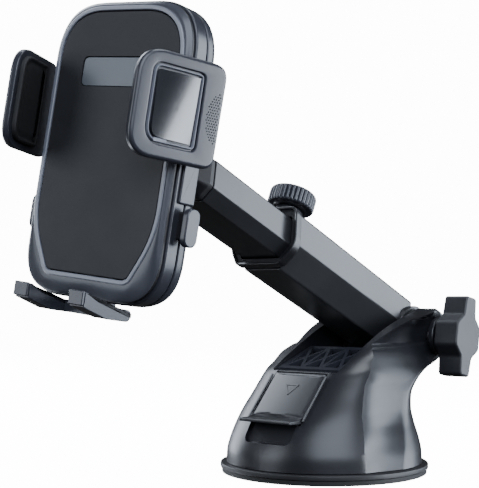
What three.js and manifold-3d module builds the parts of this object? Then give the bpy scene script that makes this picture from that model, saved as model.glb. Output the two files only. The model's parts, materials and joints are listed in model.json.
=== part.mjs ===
// Dashboard phone mount: a suction base with a forked dome, a telescopic arm, and a cradle with two
// coupled clamps on a ball joint. Millimetres, +Z up, origin at the middle of the suction pad's
// underside. The lever and the arm face -Y, and the wing knob is on +X.
import * as THREE from "three";
import { mergeVertices } from "three/addons/utils/BufferGeometryUtils.js";
import Module from "manifold-3d";

// ---------- driving dimensions ----------
const GAP = 0.3; // between pieces that touch
const THROUGH = 60; // reach of a hole or slot that runs right through
const PAD_RADIUS = 40.8;
const RIM_RADIUS = 41.4;
const RIM_TOP = 4;
const PIVOT = new THREE.Vector3(0, 44, 53.2); // arm pivot, across the fork
const ARM_ANGLE = THREE.MathUtils.degToRad(24.1); // above the horizontal
const FORK_GAP = 16.4; // half the space between the ears
const FORK_FLOOR = 40;
const EAR_SIDE = 26; // half the width across the ears
const BOLT_RADIUS = 3;
const BOLT_CLEARANCE = 0.12; // in the arm's hub, which turns on the bolt
const BOLT_SEGMENTS = 16;
const KNOB_INNER = 30;
const KNOB_OUTER = 40.8;
const NUT_RADIUS = 5.1; // across the corners
const COLLAR_END = 89; // along the arm from its pivot
const INNER_TAIL = 58;
const INNER_END = 133;
const LOCK_AT = 80;
const BALL_AT = 152;
const BALL_LIFT = 3;
const BALL_RADIUS = 8.5;
const CRADLE_TURN = [-4.66, 7.12, 7.53].map(THREE.MathUtils.degToRad); // about x, y, z in order ZXY
const BALL_IN_CRADLE = new THREE.Vector3(0, 26.3, -3);
const CRADLE_HALF_WIDTH = 29.8;
const CRADLE_TOP = 44.8;
const CRADLE_BOTTOM = -55;
const CRADLE_BACK = 16.5;
const PINION_PITCH = 5; // radius
const PINION_TEETH = 12;
const PINION_Z = 8;
const JAW_ANGLE = THREE.MathUtils.degToRad(20.8); // each jaw leans in towards the front
const JAW_FRONT = [27.7, -20.6]; // x, y of the outer face's front edge
const JAW_LENGTH = 32;
const JAW_TOP = 24.4;
const JAW_BOTTOM = -9;
const JAW_THICK = 2.8;

// ---------- materials ----------
const material = (color, roughness, metalness = 0) =>
  new THREE.MeshStandardMaterial({ color, roughness, metalness });
const glossBlack = material(0x17181b, 0.22);
const satinSlate = material(0x2b2e34, 0.36);
const matteCharcoal = material(0x36393c, 0.85);
const softBlack = material(0x1a1b1c, 0.8);
const rimSilver = material(0x8b90a0, 0.35, 0.3);
const steel = material(0xb4b7bb, 0.3, 1);
const brass = material(0xb08d4a, 0.35, 1);

// ---------- solids ----------
const wasm = await Module();
wasm.setup();

// A closed geometry as a solid, with its shared vertices merged and its faces turned outwards.
function solid(geometry) {
  const bare = geometry.clone();
  Object.keys(bare.attributes)
    .filter((key) => key !== "position")
    .forEach((key) => bare.deleteAttribute(key));
  const merged = mergeVertices(bare, 1e-4);
  const points = merged.attributes.position.array;
  const corner = (i) => new THREE.Vector3().fromArray(points, 3 * i);
  const faces = [];
  let volume = 0;
  for (let i = 0; i < merged.index.count; i += 3) {
    const [a, b, c] = merged.index.array.slice(i, i + 3);
    if (a === b || b === c || c === a) continue;
    faces.push(a, b, c);
    volume += corner(a).dot(corner(b).cross(corner(c)));
  }
  if (volume < 0) faces.reverse();
  return new wasm.Manifold(
    new wasm.Mesh({ numProp: 3, vertProperties: points, triVerts: new Uint32Array(faces) }),
  );
}

function join(...solids) {
  return solids.reduce((all, next) => all.add(next));
}

function cut(body, ...tools) {
  return tools.reduce((left, tool) => left.subtract(tool), body);
}

function mesh(name, body, look) {
  const { numProp, vertProperties, triVerts } = body.getMesh();
  const points = new Float32Array((vertProperties.length / numProp) * 3);
  for (let i = 0; i < points.length / 3; i++) {
    points.set(vertProperties.subarray(i * numProp, i * numProp + 3), 3 * i);
  }
  const indexed = new THREE.BufferGeometry()
    .setAttribute("position", new THREE.BufferAttribute(points, 3))
    .setIndex(new THREE.BufferAttribute(triVerts, 1));
  const geometry = indexed.toNonIndexed();
  geometry.computeVertexNormals();
  const made = new THREE.Mesh(geometry, look);
  made.name = name;
  return made;
}

// ---------- outlines and placed shapes ----------
const X = new THREE.Vector3(1, 0, 0);
const Y = new THREE.Vector3(0, 1, 0);
const Z = new THREE.Vector3(0, 0, 1);

// A closed outline through corners [x, y, radius], each corner rounded off.
function outline(corners, segments = 3) {
  const points = [];
  corners.forEach(([x, y, radius = 0], i) => {
    const at = new THREE.Vector2(x, y);
    const [before, after] = [corners.at(i - 1), corners[(i + 1) % corners.length]].map(
      ([px, py]) => new THREE.Vector2(px, py).sub(at).normalize(),
    );
    if (radius === 0) {
      points.push(at);
      return;
    }
    const reach = radius / Math.tan(before.angleTo(after) / 2);
    const curve = new THREE.QuadraticBezierCurve(
      at.clone().addScaledVector(before, reach),
      at,
      at.clone().addScaledVector(after, reach),
    );
    points.push(...curve.getPoints(segments));
  });
  return new THREE.Shape(points);
}

// The right half of an outline, from bottom to top, completed by its mirror image.
function mirrored(corners, segments) {
  const left = corners.map(([x, y, radius]) => [-x, y, radius]).reverse();
  return outline([...corners, ...left], segments);
}

function circle(radius, segments, x = 0, y = 0) {
  const points = [];
  for (let i = 0; i < segments; i++) {
    const turn = (2 * Math.PI * i) / segments;
    points.push(new THREE.Vector2(x + radius * Math.cos(turn), y + radius * Math.sin(turn)));
  }
  return new THREE.Shape(points);
}

function extrude(shape, depth, bevel) {
  const options = { depth, bevelEnabled: bevel > 0, curveSegments: 6 };
  if (bevel > 0) {
    Object.assign(options, {
      depth: depth - 2 * bevel,
      bevelThickness: bevel,
      bevelSize: bevel,
      bevelOffset: -bevel,
      bevelSegments: 1,
    });
  }
  const geometry = new THREE.ExtrudeGeometry(shape, options);
  if (bevel > 0) geometry.translate(0, 0, bevel);
  return geometry;
}

// An outline drawn in (y, z) and carried along X, one in (x, z) along Y, and one in (x, y) along Z.
function alongX(shape, from, to, bevel = 0) {
  const basis = new THREE.Matrix4().makeBasis(Y, Z, X).setPosition(from, 0, 0);
  return solid(extrude(shape, to - from, bevel).applyMatrix4(basis));
}

function alongY(shape, from, to, bevel = 0) {
  const basis = new THREE.Matrix4().makeBasis(X, Z, Y.clone().negate()).setPosition(0, to, 0);
  return solid(extrude(shape, to - from, bevel).applyMatrix4(basis));
}

function alongZ(shape, from, to, bevel = 0) {
  return solid(extrude(shape, to - from, bevel).translate(0, 0, from));
}

function block([x0, y0, z0], [x1, y1, z1]) {
  const box = new THREE.BoxGeometry(x1 - x0, y1 - y0, z1 - z0);
  return solid(box.translate((x0 + x1) / 2, (y0 + y1) / 2, (z0 + z1) / 2));
}

// Two distances from the middle as an ordered pair of x, on side +1 or -1.
function span(side, near, far) {
  return side > 0 ? [near, far] : [-far, -near];
}

function rod(radius, x0, x1, y, z, segments = 14) {
  return alongX(circle(radius, segments, y, z), x0, x1);
}

// A profile of [radius, height] corners turned about an axis through a point.
function turned(profile, segments, axis = Z, at = new THREE.Vector3()) {
  const points = [...profile, profile[0]].map(([r, h]) => new THREE.Vector2(r, h));
  const lathe = new THREE.LatheGeometry(points, segments);
  lathe.applyQuaternion(new THREE.Quaternion().setFromUnitVectors(Y, axis));
  return solid(lathe.translate(at.x, at.y, at.z));
}

function ball(radius, at, widths = 18, heights = 11) {
  return solid(new THREE.SphereGeometry(radius, widths, heights).translate(at.x, at.y, at.z));
}

// A skin through rings with equal numbers of points, closed at both ends.
function loft(rings) {
  const count = rings[0].length;
  const points = rings.flat();
  const index = [];
  for (let r = 0; r + 1 < rings.length; r++) {
    for (let i = 0; i < count; i++) {
      const [a, b] = [r * count + i, r * count + ((i + 1) % count)];
      index.push(a, b, b + count, a, b + count, a + count);
    }
  }
  const cap = (ring, first, flip) => {
    const middle = points.length;
    points.push(ring.reduce((sum, p) => sum.add(p), new THREE.Vector3()).divideScalar(count));
    for (let i = 0; i < count; i++) {
      const [a, b] = [first + i, first + ((i + 1) % count)];
      index.push(...(flip ? [middle, b, a] : [middle, a, b]));
    }
  };
  cap(rings[0], 0, true);
  cap(rings.at(-1), (rings.length - 1) * count, false);
  const geometry = new THREE.BufferGeometry().setFromPoints(points);
  return solid(geometry.setIndex(index));
}

// A shape's outline as a ring at one depth along Y.
function ringAtY(shape, y, count) {
  const points = shape.getSpacedPoints(count).slice(0, count);
  return points.map((p) => new THREE.Vector3(p.x, y, p.y));
}

// ---------- dome housing ----------
// Each level: height, front, front half width, front corner, rear half width, rear, rear corner.
const DOME_LEVELS = [
  [RIM_TOP + GAP, -39, 39, 39, 39, 39, 39],
  [9, -38.4, 38.4, 37.6, 37.2, 38.5, 35],
  [14.5, -36.4, 36.4, 34.4, 33.8, 35.8, 27],
  [20, -32.8, 34.2, 30.2, 30.1, 33.4, 20],
  [25, -28, 31.8, 24.4, 27.6, 31.9, 15],
  [31, -22.2, 29.4, 20, 26, 32.8, 12],
  [36, -17.4, 28.2, 17.6, 25.4, 36, 9],
  [40, -13.2, 27.2, 15.4, 25.4, 41.4, 8],
  [43, -8, 26.6, 13.4, 25.6, 48, 6.5],
  [47, -0.4, 26.2, 9.2, 25.8, 53.4, 5],
  [51.5, 8.4, EAR_SIDE, 6.8, 25.9, 55.3, 4],
  [55.7, 17.2, EAR_SIDE, 5, EAR_SIDE, 55.1, 4],
  [60.6, 30.8, 25.9, 3, 25.9, 52.6, 4],
  [62.6, 38, 25.6, 2.6, 25.6, 50.4, 3.6],
  [63.9, 42, 25, 2, 25, 47.9, 2.6],
  [64.6, 44, 24.2, 1, 24.2, 46, 0.8],
];

// One level's outline. The side behind the front corner is scooped in a little.
function domeRing([z, front, width, frontCorner, rearWidth, rear, rearCorner], wall = 0) {
  const steps = wall > 0 ? 4 : 7;
  const half = new THREE.Path();
  const [w, rw] = [width - wall, rearWidth - wall];
  const [y0, y1] = [front + wall, rear - wall];
  const [fc, rc] = [Math.max(frontCorner - wall, 0.5), Math.max(rearCorner - wall, 0.5)];
  const scoop = wall > 0 ? 0 : Math.min(1.6, (y1 - rc - y0 - fc) * 0.05);
  const side = new THREE.QuadraticBezierCurve(
    new THREE.Vector2(w, y0 + fc),
    new THREE.Vector2((w + rw) / 2 - scoop, (y0 + fc + y1 - rc) / 2),
    new THREE.Vector2(rw, y1 - rc),
  );
  half.absarc(w - fc, y0 + fc, fc, -Math.PI / 2, 0);
  const points = [
    new THREE.Vector2(0, y0),
    ...half.getPoints(steps),
    ...side.getPoints(3).slice(1, -1),
  ];
  const rearArc = new THREE.Path().absarc(rw - rc, y1 - rc, rc, 0, Math.PI / 2);
  points.push(...rearArc.getPoints(steps - 2), new THREE.Vector2(0, y1));
  const left = points
    .slice(1, -1)
    .reverse()
    .map((p) => new THREE.Vector2(-p.x, p.y));
  return [...points, ...left].map((p) => new THREE.Vector3(p.x, p.y, z));
}

const LEVER_TOP = [-14, 40.2]; // y, z along the middle of the front
const LEVER_FOOT = [-29.4, 23.2];
const LEVER_HALF = 12.6;
const LEVER_THICK = 2.2;
const LEVER_KNUCKLE = 2;
const LEVER_PIN = new THREE.Vector3(0, -13.7, 37.5);
const RECESS = { half: 11.4, bottom: 14, top: 20.6, back: -29 };
const STEM_TOP = 27;
const STEM_LIFT = 3; // how far the stem drops when the lever opens

// A plate lying on the front slope, between two depths below it.
function slopePlate(half, over, under, top, foot) {
  const slope = new THREE.Vector2(...LEVER_TOP).sub(new THREE.Vector2(...LEVER_FOOT)).normalize();
  const out = new THREE.Vector2(-slope.y, slope.x);
  const point = (end, along, rise) =>
    new THREE.Vector2(...end).addScaledVector(slope, along).addScaledVector(out, rise);
  const section = new THREE.Shape([
    point(LEVER_FOOT, -foot, under),
    point(LEVER_TOP, top, under),
    point(LEVER_TOP, top, over),
    point(LEVER_FOOT, -foot, over),
  ]);
  return alongX(section, -half, half);
}

function domeHousing() {
  const outer = loft(DOME_LEVELS.map((level) => domeRing(level)));
  const wall = 2.8;
  const inside = DOME_LEVELS.slice(0, 7).map((level) => domeRing(level, wall));
  inside[0].forEach((p) => p.setZ(RIM_TOP - 1));
  const hollow = loft(inside);
  const slot = block([-FORK_GAP, -13, FORK_FLOOR], [FORK_GAP, 70, 80]);
  const slotMouth = block([-FORK_GAP, -20, FORK_FLOOR + 2.2], [FORK_GAP, -12, 80]);
  const leverWell = join(
    slopePlate(LEVER_HALF + GAP, 6, -LEVER_THICK - GAP, -1.5, 0.2),
    slopePlate(LEVER_HALF + GAP, 6, -1, 0.7, 0),
    knuckle(LEVER_KNUCKLE + GAP, LEVER_HALF + GAP),
  );
  const finger = alongY(
    outline([
      [-RECESS.half, RECESS.bottom, 2.4],
      [RECESS.half, RECESS.bottom, 2.4],
      [RECESS.half, RECESS.top + 2, 0],
      [-RECESS.half, RECESS.top + 2, 0],
    ]),
    -50,
    RECESS.back,
  );
  const lipSeat = block([-LEVER_HALF - GAP, -50, 21], [LEVER_HALF + GAP, -27, 23.6]);
  const leverArmSlot = block([-4.8, -26, 20], [4.8, -10, 37.5]);
  const nutSeat = rod(NUT_RADIUS + GAP, -THROUGH, -EAR_SIDE + 3.4, PIVOT.y, PIVOT.z, 6);
  const pinBore = rod(1.35, -16, 16, LEVER_PIN.y, LEVER_PIN.z, 12);
  const webSeat = webShape(GAP);
  const lever = [leverWell, lipSeat, finger, leverArmSlot, pinBore];
  return cut(outer, hollow, slot, slotMouth, boltBore(), nutSeat, webSeat, ...lever);
}

// Ribbed web between the ears, under the arm.
const WEB = { front: [-9.5, 42], back: [12.5, 50], thick: 2, border: 1.8, rib: 1.3, cells: 3 };

function webFrame() {
  const run = new THREE.Vector2(...WEB.back).sub(new THREE.Vector2(...WEB.front));
  const tilt = Math.atan2(run.y, run.x);
  const middle = new THREE.Vector3(
    0,
    (WEB.front[0] + WEB.back[0]) / 2,
    (WEB.front[1] + WEB.back[1]) / 2 - WEB.thick,
  );
  const placing = new THREE.Matrix4().makeRotationX(tilt).setPosition(middle);
  return { length: run.length(), placing };
}

function webShape(extra) {
  const { length, placing } = webFrame();
  const half = FORK_GAP - GAP + extra;
  const slab = new THREE.BoxGeometry(2 * half, length + 2 * extra, WEB.thick + 2 * extra);
  return solid(slab.applyMatrix4(placing));
}

function forkLattice() {
  const { length, placing } = webFrame();
  const half = FORK_GAP - GAP;
  const [wide, long] = [(2 * (half - WEB.border)) / WEB.cells, length - 2 * WEB.border];
  const holes = [];
  for (let i = 0; i < WEB.cells; i++) {
    const x = -half + WEB.border + (i + 0.5) * wide;
    const middle = new THREE.Vector2(x, 0);
    const corners = [
      new THREE.Vector2(x - wide / 2, -long / 2),
      new THREE.Vector2(x + wide / 2, -long / 2),
      new THREE.Vector2(x + wide / 2, long / 2),
      new THREE.Vector2(x - wide / 2, long / 2),
    ];
    corners.forEach((corner, k) => {
      const opening = drawnIn([corner, corners[(k + 1) % 4], middle], WEB.rib / 2);
      const prism = extrude(new THREE.Shape(opening), 3 * WEB.thick).translate(0, 0, -1.5 * WEB.thick);
      holes.push(solid(prism.applyMatrix4(placing)));
    });
  }
  return cut(webShape(0), ...holes);
}

// A triangle drawn in from its sides by a distance.
function drawnIn(corners, by) {
  const sides = corners.map((_, i) => corners[(i + 1) % 3].distanceTo(corners[(i + 2) % 3]));
  const around = sides.reduce((sum, side) => sum + side);
  const centre = new THREE.Vector2();
  corners.forEach((corner, i) => centre.addScaledVector(corner, sides[i] / around));
  const area = Math.abs(new THREE.Triangle(...corners.map((c) => new THREE.Vector3(c.x, c.y, 0))).getArea());
  const shrink = 1 - by / ((2 * area) / around);
  return corners.map((corner) => centre.clone().lerp(corner, shrink));
}

// ---------- suction parts and lever ----------
function suctionPad() {
  return turned(
    [
      [0, 0],
      [PAD_RADIUS - 0.5, 0],
      [PAD_RADIUS, 0.7],
      [PAD_RADIUS - 0.6, 1.7],
      [9, 1.9],
      [7.4, 5.4],
      [0, 5.4],
    ],
    40,
  );
}

function rimRing() {
  return turned(
    [
      [35, 2 + GAP],
      [RIM_RADIUS - 0.5, 2 + GAP],
      [RIM_RADIUS, 3],
      [RIM_RADIUS - 1, RIM_TOP],
      [35, RIM_TOP],
    ],
    40,
  );
}

// Spider that presses the pad's edge down and guides the stem.
function guideSpider() {
  let spider = turned(
    [
      [5.2, 6.4],
      [8.4, 6.4],
      [8.4, 18],
      [5.2, 18],
    ],
    20,
  );
  for (let i = 0; i < 6; i++) {
    const arm = new THREE.BoxGeometry(27, 2.4, 3).translate(8.2 + 13.5, 0, 8);
    spider = join(spider, solid(arm.rotateZ(((i + 0.5) * Math.PI) / 3)));
  }
  return spider;
}

function pullStem() {
  const shaft = turned(
    [
      [0, 5.4 + GAP + STEM_LIFT],
      [4.8, 5.4 + GAP + STEM_LIFT],
      [4.8, STEM_TOP - 6],
      [0, STEM_TOP - 6],
    ],
    18,
  );
  const tongue = block([-2.2, -4, STEM_TOP - 6.5], [2.2, 4, STEM_TOP]);
  return join(shaft, tongue);
}

// The round top edge that the lever turns on.
function knuckle(radius, half) {
  return rod(radius, -half, half, LEVER_PIN.y, LEVER_PIN.z, 14);
}

function leverPin() {
  return rod(1.2, -15.4, 15.4, LEVER_PIN.y, LEVER_PIN.z, 12);
}

function suctionLever() {
  const pinBore = knuckle(1.25, 20);
  const plate = join(
    slopePlate(LEVER_HALF, 0, -LEVER_THICK, -1.9, -0.4),
    knuckle(LEVER_KNUCKLE, LEVER_HALF),
  );
  const lip = alongX(
    outline([
      [-36.8, 21.5, 0.7],
      [-28.2, 21.3],
      [-27.4, 22.8],
      [-28.6, 24.1],
      [-36.8, 23.2, 0.7],
    ]),
    -LEVER_HALF,
    LEVER_HALF,
  );
  const mark = alongZ(
    outline([
      [-2.4, 1.5],
      [2.4, 1.5],
      [0, -2.4],
    ]),
    -1,
    1,
  );
  const camRoom = block([-4.7, -26, 22], [4.7, -9, 60]);
  const behind = slopePlate(4.7, -LEVER_THICK - 0.01, -8, 2, 0);
  return cut(join(plate, lip), pinBore, mark, camRoom.intersect(behind));
}

// Two cheeks on the lever's back turn on the pin and carry the cam that lifts the stem.
function leverCam() {
  const cheek = [
    [LEVER_PIN.y + 0.2, LEVER_PIN.z - 2.5, 0],
    [LEVER_PIN.y + 3.4, LEVER_PIN.z - 4, 1],
    [-19, 26, 1],
    [-24.4, 25.6, 0.6],
  ];
  return alongX(outline(cheek), -4.4, 4.4);
}

// ---------- pivot hardware ----------
// The bolt's hole through a piece in the base's frame.
function boltBore() {
  return rod(BOLT_RADIUS + GAP, -THROUGH, THROUGH, PIVOT.y, PIVOT.z, BOLT_SEGMENTS);
}

function wingKnob() {
  const lean = THREE.MathUtils.degToRad(-11);
  const place = (dy, dz) => [
    PIVOT.y + dy * Math.cos(lean) - dz * Math.sin(lean),
    PIVOT.z + dy * Math.sin(lean) + dz * Math.cos(lean),
  ];
  const wings = outline(
    [
      [-3.2, -16.4, 1.4],
      [3, -16.4, 1.4],
      [4.2, -9, 2],
      [9, -4.4, 3],
      [9, 4.4, 3],
      [4.6, 9, 2],
      [3.8, 16.4, 1.4],
      [-3.6, 16.4, 1.4],
      [-4.4, 9, 2],
      [-9, 4.4, 3],
      [-9, -4.4, 3],
      [-4.4, -9, 2],
    ].map(([dy, dz, radius]) => [...place(dy, dz), radius]),
    3,
  );
  const body = alongX(wings, KNOB_INNER, KNOB_OUTER, 0.9);
  const skirt = alongX(circle(7.4, 24, PIVOT.y, PIVOT.z), KNOB_INNER - 1.2, KNOB_INNER + 1);
  const socket = rod(BOLT_RADIUS + GAP, 0, KNOB_OUTER - 3, PIVOT.y, PIVOT.z, BOLT_SEGMENTS);
  return cut(join(body, skirt), socket);
}

function knobBolt() {
  return rod(BOLT_RADIUS, -EAR_SIDE - 1, KNOB_OUTER - 3 - GAP, PIVOT.y, PIVOT.z, BOLT_SEGMENTS);
}

function boltWasher() {
  return cut(rod(8, EAR_SIDE + GAP, KNOB_INNER - 1.5, PIVOT.y, PIVOT.z, 28), boltBore());
}

function captiveNut() {
  const [outer, inner] = [-EAR_SIDE + GAP, -EAR_SIDE + 3.1];
  return cut(rod(NUT_RADIUS, outer, inner, PIVOT.y, PIVOT.z, 6), boltBore());
}

function frictionWasher(side) {
  const [from, to] = span(side, FORK_GAP - 1.3, FORK_GAP - GAP);
  return cut(rod(11, from, to, PIVOT.y, PIVOT.z, 28), boltBore());
}

// ---------- arm ----------
// In the arm's frame the pivot is the origin, the arm runs along -Y and its top faces +Z.
const OUTER_TOP = 14.1;
const OUTER_SECTION = [
  [8.7, -9.2, 1.2],
  [14, 1.4, 1.6],
  [11.7, OUTER_TOP, 1.8],
];
const INNER_SECTION = [
  [8.8, -5.2, 1],
  [12.6, 0, 1.2],
  [9.7, 11.2, 1.4],
];
const grow = (section, by) =>
  section.map(([x, z, radius], i) => [x + by, z + (i - 1) * by, Math.max(radius + by / 2, 0.3)]);
const BALL = new THREE.Vector3(0, -BALL_AT, BALL_LIFT);
const HUB_RADIUS = 12.4;
const HUB_HALF = FORK_GAP - 1.7;

function outerArm() {
  const tube = alongY(mirrored(OUTER_SECTION, 2), -COLLAR_END + 5, 0);
  const hub = alongX(circle(HUB_RADIUS, 32), -HUB_HALF, HUB_HALF);
  const hollow = alongY(mirrored(grow(INNER_SECTION, 0.4), 2), -COLLAR_END, -16);
  const bore = rod(BOLT_RADIUS + BOLT_CLEARANCE, -THROUGH, THROUGH, 0, 0, BOLT_SEGMENTS);
  const screwHole = alongZ(circle(2.4, 12, 0, -LOCK_AT), 8, 20);
  return cut(join(tube, hub), hollow, bore, screwHole);
}

function armCollar() {
  const shape = [
    [10.8, -8.6, 1.4],
    [16.6, -1, 2],
    [11.8, 15.9, 2.4],
  ];
  const rim = alongY(mirrored(shape, 3), -COLLAR_END, -COLLAR_END + 4.6, 0.6);
  const boss = alongZ(circle(5.6, 16, 0, -LOCK_AT), OUTER_TOP + GAP, 19);
  const saddle = alongY(
    mirrored(
      [
        [6.4, OUTER_TOP + GAP, 0],
        [6.4, 16.2, 1.4],
      ],
      2,
    ),
    -COLLAR_END + 1,
    -LOCK_AT + 6,
  );
  const throat = alongY(mirrored(grow(INNER_SECTION, 0.6), 2), -COLLAR_END - 1, -COLLAR_END + 4.7);
  const seat = alongY(mirrored(grow(OUTER_SECTION, GAP), 2), -COLLAR_END + 5 - 1.6, -60);
  const screwHole = alongZ(circle(2.4, 12, 0, -LOCK_AT), 0, 30);
  return cut(join(rim, boss, saddle), throat, seat, screwHole);
}

const KNURLS = 20;
const LOCK_BASE = 19 + GAP;

function lockKnob() {
  const ridges = [];
  for (let i = 0; i < 2 * KNURLS; i++) {
    const [radius, turn] = [i % 2 ? 9 : 9.5, (Math.PI * i) / KNURLS];
    ridges.push(
      new THREE.Vector2(radius * Math.cos(turn), -LOCK_AT + radius * Math.sin(turn)),
    );
  }
  const wheel = alongZ(new THREE.Shape(ridges), LOCK_BASE + 0.6, LOCK_BASE + 7.4, 0.8);
  const foot = alongZ(circle(6.8, 16, 0, -LOCK_AT), LOCK_BASE, LOCK_BASE + 1.2);
  return cut(join(wheel, foot), alongZ(circle(2.2 + GAP, 12, 0, -LOCK_AT), 0, LOCK_BASE + 5));
}

function lockScrew() {
  return alongZ(circle(2.1, 12, 0, -LOCK_AT), 12.2, LOCK_BASE + 4.7);
}

function innerArm() {
  const tube = alongY(mirrored(INNER_SECTION, 2), -INNER_END, -INNER_TAIL);
  const hollow = alongY(mirrored(grow(INNER_SECTION, -1.8), 2), -INNER_END - 1, -INNER_TAIL + 1);
  return cut(tube, hollow);
}

function innerTail() {
  const plug = alongY(mirrored(grow(INNER_SECTION, -2.1), 2), -INNER_TAIL - 6, -INNER_TAIL - GAP);
  const stop = alongY(mirrored(grow(INNER_SECTION, -0.2), 2), -INNER_TAIL + GAP, -INNER_TAIL + 3);
  const neck = block([-4, -INNER_TAIL - 1, 0], [4, -INNER_TAIL + 1, 6]);
  return join(plug, stop, neck);
}

function armEndBlock() {
  const ring = (shape, s, count = 24) => ringAtY(shape, -s, count);
  const taper = loft([
    ring(mirrored(grow(INNER_SECTION, 0.3), 2), INNER_END + GAP),
    ring(mirrored(grow(INNER_SECTION, 0.3), 2), INNER_END + 2.4),
    ring(mirrored(grow(INNER_SECTION, -3.4), 2), INNER_END + 6.4),
    ring(circle(5.6, 24, 0, BALL_LIFT), INNER_END + 8.4),
  ]);
  const plug = alongY(mirrored(grow(INNER_SECTION, -2.1), 2), -INNER_END - 1, -INNER_END + 7);
  const socket = turned(
    [
      [0, 0],
      [3.4, 0],
      [3.4, 30],
      [0, 30],
    ],
    18,
    Y,
    new THREE.Vector3(0, -INNER_END - 9, BALL_LIFT),
  );
  return cut(join(taper, plug), socket);
}

function ballStud() {
  const shank = turned(
    [
      [0, 4],
      [3.6, 4],
      [3.6, BALL_AT - INNER_END - 8.4 - GAP],
      [3.1, BALL_AT - INNER_END - 8.4 - GAP],
      [3.1, BALL_AT - INNER_END + 5],
      [0, BALL_AT - INNER_END + 5],
    ],
    18,
    Y,
    BALL,
  );
  return join(ball(BALL_RADIUS, BALL), shank);
}

// ---------- ball socket, in the cradle's frame ----------
const OPENING = THREE.MathUtils.degToRad(64); // between the socket's axis and its mouth
const CUP_BACK = CRADLE_BACK + GAP;

function mouth(radius, at) {
  const reach = 20;
  return turned(
    [
      [0, 0],
      [reach * Math.sin(OPENING), reach * Math.cos(OPENING)],
      [reach * Math.sin(OPENING), reach + radius],
      [0, reach + radius],
    ],
    24,
    Y,
    at,
  );
}

function ballLiner() {
  const shell = cut(ball(9.8, BALL_IN_CRADLE), ball(8.8, BALL_IN_CRADLE));
  const back = block([-20, 0, -30], [20, BALL_IN_CRADLE.y - 7.6, 30]);
  return cut(shell, mouth(8.8, BALL_IN_CRADLE), back);
}

function ballSocket() {
  const cup = turned(
    [
      [0, CUP_BACK],
      [12.6, CUP_BACK],
      [12.6, CUP_BACK + 2.4],
      [11.4, CUP_BACK + 3],
      [11.4, BALL_IN_CRADLE.y + 3.6],
      [0, BALL_IN_CRADLE.y + 3.6],
    ],
    28,
    Y,
    new THREE.Vector3(0, 0, BALL_IN_CRADLE.z),
  );
  return cut(cup, ball(10.1, BALL_IN_CRADLE), mouth(10.1, BALL_IN_CRADLE));
}

function lockNut() {
  const [inner, from, to] = [11.4 + GAP, CUP_BACK + 3.4, BALL_IN_CRADLE.y + 5.2];
  const profile = [
    [inner, from],
    [13.8, from],
    [13.8, to - 4],
    [10.8, to],
    [9.6, to],
    [9.6, to - 1.2],
    [inner, to - 1.2],
  ];
  let nut = turned(profile, 24, Y, new THREE.Vector3(0, 0, BALL_IN_CRADLE.z));
  for (let i = 0; i < 12; i++) {
    const grip = new THREE.CylinderGeometry(0.8, 0.8, to - from - 5.4, 5);
    grip.translate(14.1, (from + to - 4.8) / 2, 0).rotateY((i * Math.PI) / 6);
    nut = cut(nut, solid(grip.translate(0, 0, BALL_IN_CRADLE.z)));
  }
  return nut;
}

// ---------- cradle ----------
const CRADLE_CORNERS = [
  [CRADLE_HALF_WIDTH, CRADLE_BOTTOM, 16.5],
  [CRADLE_HALF_WIDTH, CRADLE_TOP, 19],
];
const PAD_CORNERS = [
  [17.4, -46.8, 3],
  [25.6, -31.6, 9],
  [25.5, 40.5, 16.5],
];
const inset = (corners, by) =>
  corners.map(([x, z, radius]) => [x - by, z - Math.sign(z) * by, Math.max(radius - by / 2, 0.4)]);
const cradleShape = (by) => mirrored(inset(CRADLE_CORNERS, by), 6);
const padShape = (by) => mirrored(inset(PAD_CORNERS, by), 5);
const RIM_WIDE = 1.8;
const RINGS = 44;
const WINDOW = { top: 25.4, bottom: 15.2, half: 15.2 };
const SHELL_WALL = 2;

function frontBezel() {
  const body = loft([
    ringAtY(cradleShape(0.9), 3, RINGS),
    ringAtY(cradleShape(1.5), 1.7, RINGS),
    ringAtY(padShape(-RIM_WIDE - 0.7), 0.3, RINGS),
    ringAtY(padShape(-RIM_WIDE), -0.3, RINGS),
  ]);
  return cut(body, alongY(padShape(-GAP), -5, 10));
}

function padWindowShape(extra) {
  const corner = 2;
  return mirrored([
    [WINDOW.half + extra, WINDOW.bottom - extra, corner],
    [WINDOW.half + extra, WINDOW.top + extra, corner],
  ]);
}

function cradlePad() {
  return cut(alongY(padShape(0), 0, 2.7, 0), alongY(padWindowShape(0), -1, 1.2));
}

function windowStrip() {
  return alongY(padWindowShape(-GAP), 0.3, 1.2 - GAP);
}

function midBand() {
  const band = alongY(cradleShape(0.8), 3 + GAP, 4.6);
  return cut(band, alongY(cradleShape(4.2), 0, 10));
}

// Slots that the racks, buttons and foot rail pass through.
const RACK_DEEP = [7.5, 11.3];
const RACK_HIGH = 4;
const RACK_EDGE = PINION_PITCH + 1.1; // from the pinion's middle to the root of the rack's teeth
const BUTTON = { deep: [5.2, 11.8], high: [-33.9, -21.5], face: 34.5 };
const FOOT_RAIL = { half: 6, deep: [7.5, 10.5], top: -22 };

function shellSlots() {
  const [deep0, deep1] = [RACK_DEEP[0] - 0.5, RACK_DEEP[1] + 0.5];
  const upper = PINION_Z + RACK_EDGE;
  const lower = PINION_Z - RACK_EDGE;
  return join(
    block([0, deep0, upper - 0.6], [50, deep1, upper + RACK_HIGH + 0.6]),
    block([-50, deep0, lower - RACK_HIGH - 0.6], [0, deep1, lower + 0.6]),
    block([22, BUTTON.deep[0] + 0.6, -32.6], [50, BUTTON.deep[1] - 0.6, -22.2]),
    block([-50, BUTTON.deep[0] + 0.6, -32.6], [-22, BUTTON.deep[1] - 0.6, -22.2]),
    block([-6.5, FOOT_RAIL.deep[0] - 0.5, -70], [6.5, FOOT_RAIL.deep[1] + 0.5, -50]),
  );
}

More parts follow.
